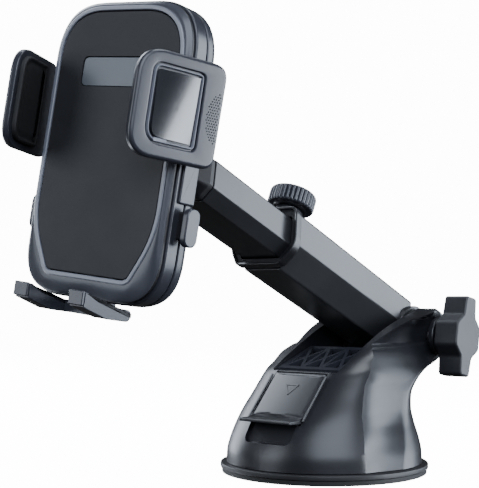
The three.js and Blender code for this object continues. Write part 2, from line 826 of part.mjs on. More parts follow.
function frontShell() {
  const [front, seam] = [4.6 + GAP, 8.7];
  const body = alongY(cradleShape(0), front, seam);
  const hollow = alongY(cradleShape(SHELL_WALL), front + 1.6, seam + 1);
  return cut(body, hollow, shellSlots());
}

const SCREWS = [
  [-20, 33],
  [20, 33],
  [-20, -44],
  [20, -44],
];

function backShell() {
  const seam = 9.1;
  const body = loft([
    ringAtY(cradleShape(6), CRADLE_BACK, RINGS),
    ringAtY(cradleShape(3), CRADLE_BACK - 0.7, RINGS),
    ringAtY(cradleShape(0.9), CRADLE_BACK - 3, RINGS),
    ringAtY(cradleShape(0), CRADLE_BACK - 5.4, RINGS),
    ringAtY(cradleShape(0), seam, RINGS),
  ]);
  const hollow = alongY(cradleShape(SHELL_WALL + 1.4), seam - 1, CRADLE_BACK - 2);
  let shell = cut(body, hollow);
  SCREWS.forEach(([x, z]) => {
    shell = join(shell, alongY(circle(3.2, 12, x, z), seam, CRADLE_BACK - 1));
  });
  SCREWS.forEach(([x, z]) => {
    const hole = alongY(circle(1.3, 8, x, z), 0, 30);
    const counterbore = alongY(circle(2.7, 12, x, z), CRADLE_BACK - 1.8, 30);
    shell = cut(shell, hole, counterbore);
  });
  return cut(shell, shellSlots());
}

function caseScrew([x, z]) {
  const head = alongY(circle(2.4, 12, x, z), CRADLE_BACK - 1.6, CRADLE_BACK - 0.2);
  const shank = alongY(circle(1, 8, x, z), 9.6, CRADLE_BACK - 1.5);
  const across = block([x - 1.5, CRADLE_BACK - 0.9, z - 0.4], [x + 1.5, CRADLE_BACK, z + 0.4]);
  return cut(join(head, shank), across);
}

// ---------- clamps, pinion and buttons ----------
function pinion() {
  const points = [];
  const tooth = (2 * Math.PI) / PINION_TEETH;
  for (let i = 0; i < PINION_TEETH; i++) {
    const profile = [
      [-0.28, 4.1],
      [-0.15, 5.8],
      [0.15, 5.8],
      [0.28, 4.1],
    ];
    profile.forEach(([part, radius]) => {
      const turn = Math.PI / 2 + (i + part) * tooth;
      points.push(
        new THREE.Vector2(radius * Math.cos(turn), PINION_Z + radius * Math.sin(turn)),
      );
    });
  }
  const wheel = alongY(new THREE.Shape(points), RACK_DEEP[0] + 0.4, RACK_DEEP[1] - 0.4);
  return cut(wheel, alongY(circle(1.55, 16, 0, PINION_Z), 0, 20));
}

function pinionAxle() {
  return alongY(circle(1.5, 16, 0, PINION_Z), 6.9, CRADLE_BACK - 2 - GAP);
}

// Rack with its teeth towards the pinion: side +1 runs over it, side -1 under it.
function rack(side) {
  const pitch = (2 * Math.PI * PINION_PITCH) / PINION_TEETH;
  const [tail, root] = [-23, RACK_EDGE];
  const corners = [
    [31.4, root],
    [31.4, root + RACK_HIGH],
    [tail, root + RACK_HIGH],
    [tail, root],
  ];
  for (let i = -13; i <= 0; i++) {
    const middle = (i + 0.5) * pitch + pitch * 3;
    if (middle - pitch / 2 < tail || middle > 8) continue;
    corners.push(
      [middle - 0.62, root],
      [middle - 0.3, root - 1.6],
      [middle + 0.3, root - 1.6],
      [middle + 0.62, root],
    );
  }
  const shape = outline(corners.map(([x, z]) => [side * x, PINION_Z + side * z]));
  return alongY(shape, RACK_DEEP[0], RACK_DEEP[1]);
}

// A point of a jaw: distance back along its outer face, and depth behind that face.
function jawPoint(along, deep) {
  const back = new THREE.Vector2(Math.sin(JAW_ANGLE), Math.cos(JAW_ANGLE));
  const inward = new THREE.Vector2(-back.y, back.x);
  return new THREE.Vector2(...JAW_FRONT).addScaledVector(back, along).addScaledVector(inward, deep);
}

// An outline on a jaw's face, in (distance along the jaw, z), carried inwards from one depth to another.
function jawSlab(side, shape, from, to, bevel = 0) {
  const geometry = extrude(shape, to - from, bevel).translate(0, 0, from);
  const origin = jawPoint(0, 0);
  const back = jawPoint(1, 0).sub(origin);
  const inward = jawPoint(0, 1).sub(origin);
  const basis = new THREE.Matrix4().makeBasis(
    new THREE.Vector3(side * back.x, back.y, 0),
    Z,
    new THREE.Vector3(side * inward.x, inward.y, 0),
  );
  basis.setPosition(side * origin.x, origin.y, 0);
  return solid(geometry.applyMatrix4(basis));
}

const JAW_OUTLINE = [
  [0, JAW_BOTTOM, 8.5],
  [JAW_LENGTH - 0.6, JAW_BOTTOM, 4],
  [JAW_LENGTH, JAW_TOP, 4.5],
  [0, JAW_TOP, 9.5],
];
const PANEL_OUTLINE = [
  [5.1, -4.6, 5.4],
  [23.9, -4.6, 1.8],
  [23.9, 20.3, 1.8],
  [5.1, 20.3, 3],
];
const within = ([[x0, z0], , [x1, z1]], corners, by) =>
  corners.map(([x, z, radius]) => [
    x + (x < (x0 + x1) / 2 ? by : -by),
    z + (z < (z0 + z1) / 2 ? by : -by),
    Math.max(radius - by / 2, 0.4),
  ]);

function jawPlate(side) {
  const plate = jawSlab(side, outline(JAW_OUTLINE), 0, JAW_THICK, 0.8);
  const pocket = jawSlab(side, outline(PANEL_OUTLINE), -1, 0.9);
  const [low, high] = [PINION_Z - RACK_EDGE - RACK_HIGH, PINION_Z + RACK_EDGE + RACK_HIGH];
  const inner = jawPoint(JAW_LENGTH - 6, JAW_THICK - 0.6);
  const rear = jawPoint(JAW_LENGTH - 0.9, JAW_THICK - 0.6);
  const bridge = new THREE.Shape(
    [
      [side * 31.6, 5.6],
      [side * inner.x, inner.y],
      [side * rear.x, rear.y],
      [side * rear.x, 11],
      [side * 31.6, 11],
    ].map(([x, y]) => new THREE.Vector2(x, y)),
  );
  return cut(join(plate, alongZ(bridge, low, high)), pocket);
}

function jawPanel(side) {
  const shape = outline(within(PANEL_OUTLINE, PANEL_OUTLINE, 2.1));
  return jawSlab(side, shape, 0.15, 0.6, 0.15);
}

function jawTrim(side) {
  const ring = jawSlab(side, outline(within(PANEL_OUTLINE, PANEL_OUTLINE, GAP)), 0, 0.6);
  return cut(ring, jawSlab(side, outline(within(PANEL_OUTLINE, PANEL_OUTLINE, 1.8)), -1, 2));
}

function jawPad(side) {
  const [low, high] = [JAW_BOTTOM + 2.4, JAW_TOP - 2.4];
  const shape = outline([
    [2.2, low, 5],
    [20.5, low, 1.5],
    [20.5, high, 1.5],
    [2.2, high, 5],
  ]);
  return jawSlab(side, shape, JAW_THICK + GAP, JAW_THICK + 1.6, 0.4);
}

function releaseCap(side) {
  const { deep, high, face } = BUTTON;
  const cap = outline([
    [deep[0], high[0], 2.4],
    [deep[1], high[0], 2.4],
    [deep[1], high[1], 2.4],
    [deep[0], high[1], 2.4],
  ]);
  const neck = outline([
    [deep[0] + 1.2, -32],
    [deep[1] - 1.2, -32],
    [deep[1] - 1.2, -22.8],
    [deep[0] + 1.2, -22.8],
  ]);
  return join(
    alongX(cap, ...span(side, face - 1.8, face), 0.5),
    alongX(neck, ...span(side, 24.5, face - 1)),
  );
}

function releaseSlider(side) {
  const [x0, x1] = span(side, 16, 24.2);
  const [p0, p1] = span(side, 15, 18.4);
  const plate = block([x0, 7.4, -33.6], [x1, 10.6, -21.2]);
  return cut(plate, block([p0, 7, -29.6], [p1, 11, -25.2]));
}

// ---------- foot ----------
const HOOK_HALF = 3;
const HOOK_X = 12;

function footHook(side) {
  const profile = outline([
    [8.4, -60.2, 1.6],
    [-3.5, -59.9, 3],
    [-15.8, -56.6, 0.4],
    [-15.8, -52, 0.4],
    [-12.8, -52.2, 0.6],
    [-11.6, -54.2, 1],
    [-3.5, -55.5, 2],
    [4, -56.1, 1],
    [8.4, -56.1, 0.8],
  ]);
  const hook = alongX(profile, side * HOOK_X - HOOK_HALF, side * HOOK_X + HOOK_HALF);
  const socket = block([-HOOK_X - GAP, 3.7, -59.2], [HOOK_X + GAP, 6.7, -57.2]);
  return cut(hook, socket);
}

function footBracket() {
  const inside = HOOK_X - HOOK_HALF - GAP;
  const bar = block([-inside, 2.2, -59.9], [inside, 10.5, -56.4]);
  const { half, deep, top } = FOOT_RAIL;
  const rail = block([-half, deep[0], -57], [half, deep[1], top]);
  const slot = block([-2, 0, -50], [2, 20, top - 6]);
  const pins = block([-inside - 3, 4, -58.9], [inside + 3, 6.4, -57.5]);
  return join(cut(join(bar, rail), slot), pins);
}

// ---------- assembly ----------
const mount = new THREE.Group();
const arm = new THREE.Group();
arm.position.copy(PIVOT);
arm.rotation.x = -ARM_ANGLE;
const cradle = new THREE.Group();
cradle.rotation.set(...CRADLE_TURN, "ZXY");
arm.updateMatrix();
cradle.position
  .copy(BALL.clone().applyMatrix4(arm.matrix))
  .sub(BALL_IN_CRADLE.clone().applyEuler(cradle.rotation));
mount.add(arm, cradle);

mount.add(
  mesh("suction_pad", suctionPad(), softBlack),
  mesh("rim_ring", rimRing(), glossBlack),
  mesh("dome_housing", domeHousing(), glossBlack),
  mesh("fork_lattice", forkLattice(), glossBlack),
  mesh("guide_spider", guideSpider(), satinSlate),
  mesh("pull_stem", pullStem(), satinSlate),
  mesh("suction_lever", suctionLever(), glossBlack),
  mesh("lever_cam", leverCam(), satinSlate),
  mesh("lever_pin", leverPin(), steel),
  mesh("wing_knob", wingKnob(), satinSlate),
  mesh("knob_bolt", knobBolt(), steel),
  mesh("bolt_washer", boltWasher(), softBlack),
  mesh("captive_nut", captiveNut(), steel),
  mesh("friction_washer_left", frictionWasher(-1), softBlack),
  mesh("friction_washer_right", frictionWasher(1), softBlack),
);
arm.add(
  mesh("outer_arm", outerArm(), satinSlate),
  mesh("arm_collar", armCollar(), glossBlack),
  mesh("lock_knob", lockKnob(), satinSlate),
  mesh("lock_screw", lockScrew(), steel),
  mesh("inner_arm", innerArm(), satinSlate),
  mesh("inner_arm_tail", innerTail(), softBlack),
  mesh("arm_end_block", armEndBlock(), glossBlack),
  mesh("ball_stud", ballStud(), steel),
);
cradle.add(
  mesh("ball_liner", ballLiner(), softBlack),
  mesh("ball_socket", ballSocket(), glossBlack),
  mesh("lock_nut", lockNut(), satinSlate),
  mesh("front_bezel", frontBezel(), rimSilver),
  mesh("cradle_pad", cradlePad(), matteCharcoal),
  mesh("window_strip", windowStrip(), glossBlack),
  mesh("mid_band", midBand(), rimSilver),
  mesh("front_shell", frontShell(), satinSlate),
  mesh("back_shell", backShell(), satinSlate),
  mesh("pinion_gear", pinion(), brass),
  mesh("pinion_axle", pinionAxle(), steel),
  mesh("foot_bracket", footBracket(), satinSlate),
);
SCREWS.forEach((place, i) => cradle.add(mesh(`case_screw_${i + 1}`, caseScrew(place), steel)));
[
  ["left", -1],
  ["right", 1],
].forEach(([name, side]) => {
  cradle.add(
    mesh(`jaw_plate_${name}`, jawPlate(side), glossBlack),
    mesh(`jaw_panel_${name}`, jawPanel(side), glossBlack),
    mesh(`jaw_trim_${name}`, jawTrim(side), rimSilver),
    mesh(`jaw_pad_${name}`, jawPad(side), softBlack),
    mesh(`jaw_rack_${name}`, rack(side), satinSlate),
    mesh(`release_cap_${name}`, releaseCap(side), satinSlate),
    mesh(`release_slider_${name}`, releaseSlider(side), softBlack),
    mesh(`foot_hook_${name}`, footHook(side), satinSlate),
  );
});

export default mount;
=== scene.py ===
"""Dashboard phone mount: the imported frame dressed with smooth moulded-plastic pieces.

Shapes are drawn in millimetres in three local frames (base, arm and cradle), whose places come
from the frame's joints, and are turned into metres when each mesh is made.
"""

import json
import math

import bmesh
import bpy
import numpy as np
from mathutils import Matrix, Vector


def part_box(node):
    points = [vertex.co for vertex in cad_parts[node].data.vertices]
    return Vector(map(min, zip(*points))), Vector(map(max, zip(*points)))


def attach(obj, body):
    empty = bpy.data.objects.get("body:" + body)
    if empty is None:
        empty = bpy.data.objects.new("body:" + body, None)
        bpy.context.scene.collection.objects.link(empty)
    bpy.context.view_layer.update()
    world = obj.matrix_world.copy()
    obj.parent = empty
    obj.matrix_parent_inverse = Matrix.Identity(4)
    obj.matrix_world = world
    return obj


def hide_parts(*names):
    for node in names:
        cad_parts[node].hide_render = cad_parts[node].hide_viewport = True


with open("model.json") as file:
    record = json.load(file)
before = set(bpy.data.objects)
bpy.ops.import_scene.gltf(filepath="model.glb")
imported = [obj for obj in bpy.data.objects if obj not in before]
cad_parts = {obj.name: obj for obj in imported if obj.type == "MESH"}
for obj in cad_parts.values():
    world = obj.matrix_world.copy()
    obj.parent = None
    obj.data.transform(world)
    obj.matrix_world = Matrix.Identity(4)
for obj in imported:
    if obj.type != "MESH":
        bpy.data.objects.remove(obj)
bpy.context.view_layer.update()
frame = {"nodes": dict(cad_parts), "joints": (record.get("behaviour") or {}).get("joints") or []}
NODES = frame["nodes"]
JOINTS = {j["name"]: j for j in frame["joints"]}
MM = 0.001
GAP = 0.3  # millimetres between neighbouring pieces
SIDES = ((-1, "left"), (1, "right"))


# ---------- local frames ----------
def axis_of(joint):
    return Vector(JOINTS[joint]["axis"]).normalized()


def place_of(joint):
    return Vector(JOINTS[joint]["pos_m"])


def local_frame(origin, x, y, z):
    """The matrix from millimetres in a local frame to metres in the part's frame."""
    turn = Matrix((x, y, z)).transposed()
    return Matrix.Translation(origin) @ (turn.to_4x4() @ Matrix.Scale(MM, 4))


BASE = Matrix.Scale(MM, 4)
ARM_ALONG = axis_of("arm_slide")
ARM_UP = axis_of("lock_turn")
ARM = local_frame(place_of("arm_tilt"), Vector((1, 0, 0)), -ARM_ALONG, ARM_UP)
CRADLE_X = axis_of("jaw_right_slide")
CRADLE_Y = axis_of("cradle_turn")
CRADLE_Z = -axis_of("foot_slide")
PINION_IN_CRADLE = Vector((0, 9.4, 8))
TURN = Matrix((CRADLE_X, CRADLE_Y, CRADLE_Z)).transposed()
CRADLE_ORIGIN = place_of("pinion_turn") - TURN @ (PINION_IN_CRADLE * MM)
CRADLE = local_frame(CRADLE_ORIGIN, CRADLE_X, CRADLE_Y, CRADLE_Z)
BALL_IN_CRADLE = CRADLE.inverted() @ place_of("ball_pan")
PIVOT = place_of("arm_tilt") / MM


# ---------- materials ----------
def node(tree, kind, **values):
    made = tree.nodes.new(kind)
    for name, value in values.items():
        setattr(made, name, value)
    return made


def plastic(name, colour, roughness, grain=0.12, grain_size=900.0, coat=0.0, edge=0.2):
    """Moulded plastic: a fine grain, faint cloudy wear and edges rubbed a little lighter."""
    made = bpy.data.materials.new(name)
    made.use_nodes = True
    tree = made.node_tree
    shader = tree.nodes["Principled BSDF"]
    link = tree.links.new
    shader.inputs["Coat Weight"].default_value = coat
    shader.inputs["Coat Roughness"].default_value = 0.12
    where = node(tree, "ShaderNodeTexCoord")
    cloud = node(tree, "ShaderNodeTexNoise")
    cloud.inputs["Scale"].default_value = 45.0
    cloud.inputs["Detail"].default_value = 5.0
    link(where.outputs["Object"], cloud.inputs["Vector"])
    fine = node(tree, "ShaderNodeTexNoise")
    fine.inputs["Scale"].default_value = grain_size
    fine.inputs["Detail"].default_value = 3.0
    link(where.outputs["Object"], fine.inputs["Vector"])
    rough = node(tree, "ShaderNodeMapRange")
    rough.inputs["To Min"].default_value = roughness * 0.86
    rough.inputs["To Max"].default_value = roughness * 1.16
    link(cloud.outputs["Fac"], rough.inputs["Value"])
    link(rough.outputs["Result"], shader.inputs["Roughness"])
    tint = node(tree, "ShaderNodeValToRGB")
    tint.color_ramp.elements[0].position = 0.3
    tint.color_ramp.elements[0].color = (*[c * 0.88 for c in colour], 1)
    tint.color_ramp.elements[1].position = 0.7
    tint.color_ramp.elements[1].color = (*[c * 1.12 for c in colour], 1)
    link(cloud.outputs["Fac"], tint.inputs["Fac"])
    worn = node(tree, "ShaderNodeMapRange")
    worn.inputs["From Min"].default_value = 0.52
    worn.inputs["From Max"].default_value = 0.64
    worn.inputs["To Max"].default_value = edge
    shape = node(tree, "ShaderNodeNewGeometry")
    link(shape.outputs["Pointiness"], worn.inputs["Value"])
    mix = node(tree, "ShaderNodeMix", data_type="RGBA")
    mix.inputs["B"].default_value = (*[min(1.0, c * 1.7 + 0.012) for c in colour], 1)
    link(worn.outputs["Result"], mix.inputs["Factor"])
    link(tint.outputs["Color"], mix.inputs["A"])
    link(mix.outputs["Result"], shader.inputs["Base Color"])
    bump = node(tree, "ShaderNodeBump")
    bump.inputs["Strength"].default_value = grain
    bump.inputs["Distance"].default_value = 0.00006
    link(fine.outputs["Fac"], bump.inputs["Height"])
    link(bump.outputs["Normal"], shader.inputs["Normal"])
    return made


def turned_metal(name, colour, roughness):
    """Metal with the fine rings that turning leaves."""
    made = bpy.data.materials.new(name)
    made.use_nodes = True
    tree = made.node_tree
    shader = tree.nodes["Principled BSDF"]
    link = tree.links.new
    shader.inputs["Metallic"].default_value = 1.0
    where = node(tree, "ShaderNodeTexCoord")
    rings = node(tree, "ShaderNodeTexWave", wave_type="RINGS")
    rings.inputs["Scale"].default_value = 900.0
    rings.inputs["Distortion"].default_value = 1.5
    link(where.outputs["Object"], rings.inputs["Vector"])
    rough = node(tree, "ShaderNodeMapRange")
    rough.inputs["To Min"].default_value = roughness * 0.8
    rough.inputs["To Max"].default_value = roughness * 1.3
    link(rings.outputs["Fac"], rough.inputs["Value"])
    link(rough.outputs["Result"], shader.inputs["Roughness"])
    tint = node(tree, "ShaderNodeValToRGB")
    tint.color_ramp.elements[0].color = (*[c * 0.85 for c in colour], 1)
    tint.color_ramp.elements[1].color = (*colour, 1)
    link(rings.outputs["Fac"], tint.inputs["Fac"])
    link(tint.outputs["Color"], shader.inputs["Base Color"])
    return made


GLOSS_BLACK = plastic("gloss_black", (0.010, 0.0105, 0.013), 0.33, grain=0.015)
RIM_BLACK = plastic("rim_black", (0.006, 0.006, 0.007), 0.5, grain=0.1)
SATIN_SLATE = plastic("satin_slate", (0.020, 0.0215, 0.028), 0.30, grain=0.12)
ARM_SLATE = plastic("arm_slate", (0.014, 0.0145, 0.016), 0.29, grain=0.03)
DARK_SLATE = plastic("dark_slate", (0.008, 0.0082, 0.0095), 0.30, grain=0.12)
RIM_GREY = plastic("rim_grey", (0.12, 0.128, 0.152), 0.3, grain=0.05, edge=0.3)
BEZEL_SLATE = plastic("bezel_slate", (0.040, 0.043, 0.053), 0.32, grain=0.1)
SOFT_CHARCOAL = plastic(
    "soft_charcoal", (0.009, 0.0095, 0.0112), 0.6, grain=0.5, grain_size=1500.0
)
SOFT_BLACK = plastic("soft_black", (0.004, 0.004, 0.0042), 0.66, grain=0.5, grain_size=1500.0)
PANEL_GLOSS = plastic("panel_gloss", (0.012, 0.013, 0.016), 0.2, grain=0.03, coat=0.4)
WING_BLACK = plastic("wing_black", (0.012, 0.0125, 0.015), 0.5, grain=0.2)
WINDOW_SLATE = plastic("window_slate", (0.060, 0.069, 0.080), 0.36, grain=0.06)
STEEL = turned_metal("steel", (0.55, 0.56, 0.58), 0.28)
BRASS = turned_metal("brass", (0.60, 0.45, 0.20), 0.3)


# ---------- outlines ----------
def outline(corners, steps=8):
    """A closed outline through corners (x, y, radius), each rounded by a quadratic curve."""
    points = []
    count = len(corners)
    for i, (x, y, radius) in enumerate(corners):
        at = Vector((x, y))
        before = (Vector(corners[i - 1][:2]) - at).normalized()
        after = (Vector(corners[(i + 1) % count][:2]) - at).normalized()
        if radius <= 0:
            points.append(at)
            continue
        reach = radius / math.tan(before.angle(after) / 2)
        start, end = at + before * reach, at + after * reach
        for k in range(steps + 1):
            t = k / steps
            points.append(start * (1 - t) ** 2 + at * (2 * t * (1 - t)) + end * t**2)
    return np.array([tuple(p) for p in points])


def mirrored(corners, steps=8):
    """The right half of an outline, from bottom to top, completed by its mirror image."""
    return outline(list(corners) + [(-x, y, r) for x, y, r in reversed(corners)], steps)


def circle(radius, count=48, x=0.0, y=0.0):
    turn = np.linspace(0, 2 * math.pi, count, endpoint=False)
    return np.column_stack((x + radius * np.cos(turn), y + radius * np.sin(turn)))


def spaced(points, count):
    """An outline resampled to equally spaced points, starting at its first point."""
    closed = np.vstack((points, points[:1]))
    step = np.hypot(*np.diff(closed, axis=0).T)
    run = np.concatenate(([0], np.cumsum(step)))
    wanted = np.linspace(0, run[-1], count, endpoint=False)
    return np.column_stack([np.interp(wanted, run, closed[:, k]) for k in (0, 1)])


def inset(points, by):
    """An outline drawn in by a distance, point by point along its mean normals."""
    x, y = points.T
    area = np.sum(x * np.roll(y, -1) - np.roll(x, -1) * y)
    ahead = np.roll(points, -1, axis=0) - points
    ahead /= np.maximum(np.hypot(*ahead.T)[:, None], 1e-9)
    behind = np.roll(ahead, 1, axis=0)
    normal = np.column_stack((-(ahead + behind)[:, 1], (ahead + behind)[:, 0]))
    length = np.maximum(np.hypot(*normal.T), 1e-9)
    normal /= length[:, None]
    stretch = 1 / np.maximum(length / 2, 0.6)
    return points + normal * (np.sign(area) * by * stretch)[:, None]


# ---------- meshes ----------
def piece(name, place, points, faces, body, finish, slot, stands_for=(), crease=35):
    """A mesh made in a local frame, riding on a body; edges over the crease angle stay sharp."""
    mesh = bpy.data.meshes.new(name)
    mesh.from_pydata([tuple(place @ Vector(p)) for p in points], [], faces)
    mesh.validate()
    made = bpy.data.objects.new(name, mesh)
    bpy.context.scene.collection.objects.link(made)
    face_outwards(made)
    finished(made, finish, crease)
    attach(made, body)
    if stands_for:
        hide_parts(*stands_for)
    return made


def face_outwards(made):
    """Merges doubled points and turns every face to the outside."""
    work = bmesh.new()
    work.from_mesh(made.data)
    bmesh.ops.remove_doubles(work, verts=work.verts, dist=2e-7)
    bmesh.ops.recalc_face_normals(work, faces=work.faces)
    work.to_mesh(made.data)
    work.free()


def finished(made, finish, crease=35):
    """One material, smooth shading, and sharp edges where the faces meet at more than crease."""
    made.data.materials.clear()
    made.data.materials.append(finish)
    made.data.shade_smooth()
    made.data.set_sharp_from_angle(angle=math.radians(crease))
    even = made.modifiers.new("even_normals", "WEIGHTED_NORMAL")
    even.keep_sharp = True


def loft(rings, loop=False):
    """Points and faces of a skin through equal rings, closed by flat ends or joined into a loop."""
    count = len(rings[0])
    points = [tuple(p) for ring in rings for p in ring]
    faces = []
    pairs = len(rings) if loop else len(rings) - 1
    for r in range(pairs):
        a, b = r * count, ((r + 1) % len(rings)) * count
        for i in range(count):
            j = (i + 1) % count
            faces.append((a + i, a + j, b + j, b + i))
    if not loop:
        faces.append(tuple(reversed(range(count))))
        faces.append(tuple(range((len(rings) - 1) * count, len(rings) * count)))
    return points, faces


def along_x(points, at):
    return [(at, y, z) for y, z in points]


def along_y(points, at):
    return [(x, at, z) for x, z in points]


def along_z(points, at):
    return [(x, y, at) for x, y in points]


def rounded_levels(start, end, fillet_start, fillet_end, steps=4):
    """(depth, inset) pairs of a slab whose two rims are rounded."""
    way = 1 if end > start else -1

    def rim(edge, inwards, fillet):
        if fillet <= 0:
            return [(edge, 0.0)]
        turns = [math.pi / 2 * k / steps for k in range(steps + 1)]
        return [
            (edge + inwards * fillet * (1 - math.sin(t)), fillet * (1 - math.cos(t)))
            for t in turns
        ]

    return rim(start, way, fillet_start)[::-1] + rim(end, -way, fillet_end)


def slab(points, along, start, end, fillet_start=0.4, fillet_end=None, steps=4):
    """Rings of an outline carried along an axis, with rounded rims."""
    fillet_end = fillet_start if fillet_end is None else fillet_end
    levels = rounded_levels(start, end, fillet_start, fillet_end, steps)
    return [along(inset(points, by), at) for at, by in levels]


def turned(profile, count, place, centre=(0, 0, 0)):
    """Rings of a profile of (radius, height) turned about a local axis, given as a matrix."""
    turn = np.linspace(0, 2 * math.pi, count, endpoint=False)
    rings = []
    for radius, height in profile:
        ring = [place @ Vector((radius * math.cos(t), radius * math.sin(t), height)) for t in turn]
        rings.append([tuple(p + Vector(centre)) for p in ring])
    return rings


# Each takes a profile's axis to the named axis.
ABOUT_Y = Matrix.Rotation(-math.pi / 2, 3, "X")
ABOUT_X = Matrix.Rotation(math.pi / 2, 3, "Y")
ABOUT_Z = Matrix.Identity(3)


def joined(parts):
    """Several (points, faces) as one."""
    points, faces = [], []
    for more_points, more_faces in parts:
        faces += [tuple(v + len(points) for v in face) for face in more_faces]
        points += more_points
    return points, faces


def boxed(low, high):
    (x0, y0, z0), (x1, y1, z1) = low, high
    ring = [(x0, y0), (x1, y0), (x1, y1), (x0, y1)]
    return loft([along_z(ring, z0), along_z(ring, z1)])


def cut(made, place, tools):
    """Takes closed shapes away from a piece."""
    for points, faces in tools:
        mesh = bpy.data.meshes.new("tool")
        mesh.from_pydata([tuple(place @ Vector(p)) for p in points], [], faces)
        tool = bpy.data.objects.new("tool", mesh)
        bpy.context.scene.collection.objects.link(tool)
        face_outwards(tool)
        made.modifiers.clear()
        step = made.modifiers.new("cut", "BOOLEAN")
        step.operation, step.object, step.solver = "DIFFERENCE", tool, "MANIFOLD"
        graph = bpy.context.evaluated_depsgraph_get()
        result = bpy.data.meshes.new_from_object(made.evaluated_get(graph))
        made.modifiers.clear()
        made.data = result
        bpy.data.objects.remove(tool)
    return made


# ---------- dome ----------
RIM_TOP = 4
EAR_SIDE = 26
FORK_GAP = 16.4
FORK_FLOOR = 40
# Height, front, front half width, front corner, rear half width, rear, rear corner.
DOME_LEVELS = np.array([
    [4.3, -39, 39, 39, 39, 39, 39],
    [9, -38.4, 38.4, 37.6, 37.2, 38.5, 35],
    [14.5, -36.4, 36.4, 34.4, 33.8, 35.8, 27],
    [20, -32.8, 34.2, 30.2, 30.1, 33.4, 20],
    [25, -28, 31.8, 24.4, 27.6, 31.9, 15],
    [31, -22.2, 29.4, 20, 26, 32.8, 12],
    [36, -17.4, 28.2, 17.6, 25.4, 36, 9],
    [40, -13.2, 27.2, 15.4, 25.4, 41.4, 8],
    [43, -8, 26.6, 13.4, 25.6, 48, 6.5],
    [47, -0.4, 26.2, 9.2, 25.8, 53.4, 5],
    [51.5, 8.4, 26, 6.8, 25.9, 55.3, 4],
    [55.7, 17.2, 26, 5, 26, 55.1, 4],
    [60.6, 30.8, 25.9, 3, 25.9, 52.6, 4],
    [62.6, 38, 25.6, 2.6, 25.6, 50.4, 3.6],
    [63.9, 42, 25, 2, 25, 47.9, 2.6],
    [64.6, 44, 24.2, 1, 24.2, 46, 0.8],
])


def eased(heights, values, at):
    """A smooth curve through values that never overshoots them."""
    step = np.diff(heights)
    slope = np.diff(values) / step
    tangent = np.zeros(len(values))
    for i in range(1, len(values) - 1):
        if slope[i - 1] * slope[i] > 0:
            w1, w2 = 2 * step[i] + step[i - 1], step[i] + 2 * step[i - 1]
            tangent[i] = (w1 + w2) / (w1 / slope[i - 1] + w2 / slope[i])
    tangent[0], tangent[-1] = slope[0], slope[-1]
    i = np.clip(np.searchsorted(heights, at) - 1, 0, len(step) - 1)
    t = (at - heights[i]) / step[i]
    return (
        values[i] * (1 + 2 * t) * (1 - t) ** 2
        + tangent[i] * step[i] * t * (1 - t) ** 2
        + values[i + 1] * t**2 * (3 - 2 * t)
        + tangent[i + 1] * step[i] * t**2 * (t - 1)
    )


# Height and y of the crease between the dome's flat cheek and its scooped side.
CREASE = np.array([
    [4.3, -19.0],
    [11.3, -18.4],
    [24.4, -14.6],
    [35.5, -8.2],
    [48.6, 3.4],
    [55.8, 14.6],
    [60.4, 30.2],
    [63.1, 42],
    [64.6, 44],
])
SCOOP = 2.4  # deepest reach of the scoop behind the crease
STRAIGHT_STEPS, CORNER_STEPS, CHEEK_STEPS, SCOOP_STEPS, REAR_STEPS = 5, 18, 6, 17, 10


def dome_ring(level, wall=0.0):
    """One level: front, rounded corner, flat cheek, scooped side, rear corner, rear."""
    z, front, width, front_corner, rear_width, rear, rear_corner = level
    w, rw, y0, y1 = width - wall, rear_width - wall, front + wall, rear - wall
    fc, rc = max(front_corner - wall, 0.4), max(rear_corner - wall, 0.4)
    crease = float(np.interp(z, CREASE[:, 0], CREASE[:, 1]))
    last = min(0.0, math.asin(max(-1.0, min(1.0, (crease - y0 - fc) / fc))))
    right = [(k / STRAIGHT_STEPS * (w - fc), y0) for k in range(STRAIGHT_STEPS)]
    for k in range(CORNER_STEPS + 1):
        turn = -math.pi / 2 + (last + math.pi / 2) * k / CORNER_STEPS
        right.append((w - fc + fc * math.cos(turn), y0 + fc + fc * math.sin(turn)))
    corner, end = Vector(right[-1]), Vector((rw, y1 - rc))
    reach = max(0.0, min(0.9, (crease - corner.y) / max(end.y - corner.y, 1e-6)))
    start = corner.lerp(end, reach)
    right += [tuple(corner.lerp(start, k / CHEEK_STEPS)) for k in range(1, CHEEK_STEPS + 1)]
    deep = SCOOP * min(1.0, (z - RIM_TOP) / 16) * min(1.0, (end - start).length / 30)
    middle = start.lerp(end, 0.42) - Vector((2 * deep, 0))
    for k in range(1, SCOOP_STEPS):
        t = k / SCOOP_STEPS
        right.append(tuple(start * (1 - t) ** 2 + middle * (2 * t * (1 - t)) + end * t**2))
    for k in range(REAR_STEPS + 1):
        turn = math.pi / 2 * k / REAR_STEPS
        right.append((rw - rc + rc * math.cos(turn), y1 - rc + rc * math.sin(turn)))
    ends = range(1, STRAIGHT_STEPS + 1)
    right += [((1 - k / STRAIGHT_STEPS) * (rw - rc), y1) for k in ends]
    left = [(-x, y) for x, y in reversed(right[1:-1])]
    return [(x, y, z) for x, y in right + left]


def dome_rings(top, wall=0.0, count=110):
    """The dome's rings from the rim to a height, closer together towards the top."""
    heights = DOME_LEVELS[:, 0]
    rise = 1 - (1 - np.linspace(0, 1, count)) ** 2
    at = heights[0] + (top - heights[0]) * rise
    columns = [eased(heights, DOME_LEVELS[:, k], at) for k in range(1, 7)]
    return [dome_ring((z, *[c[i] for c in columns]), wall) for i, z in enumerate(at)]


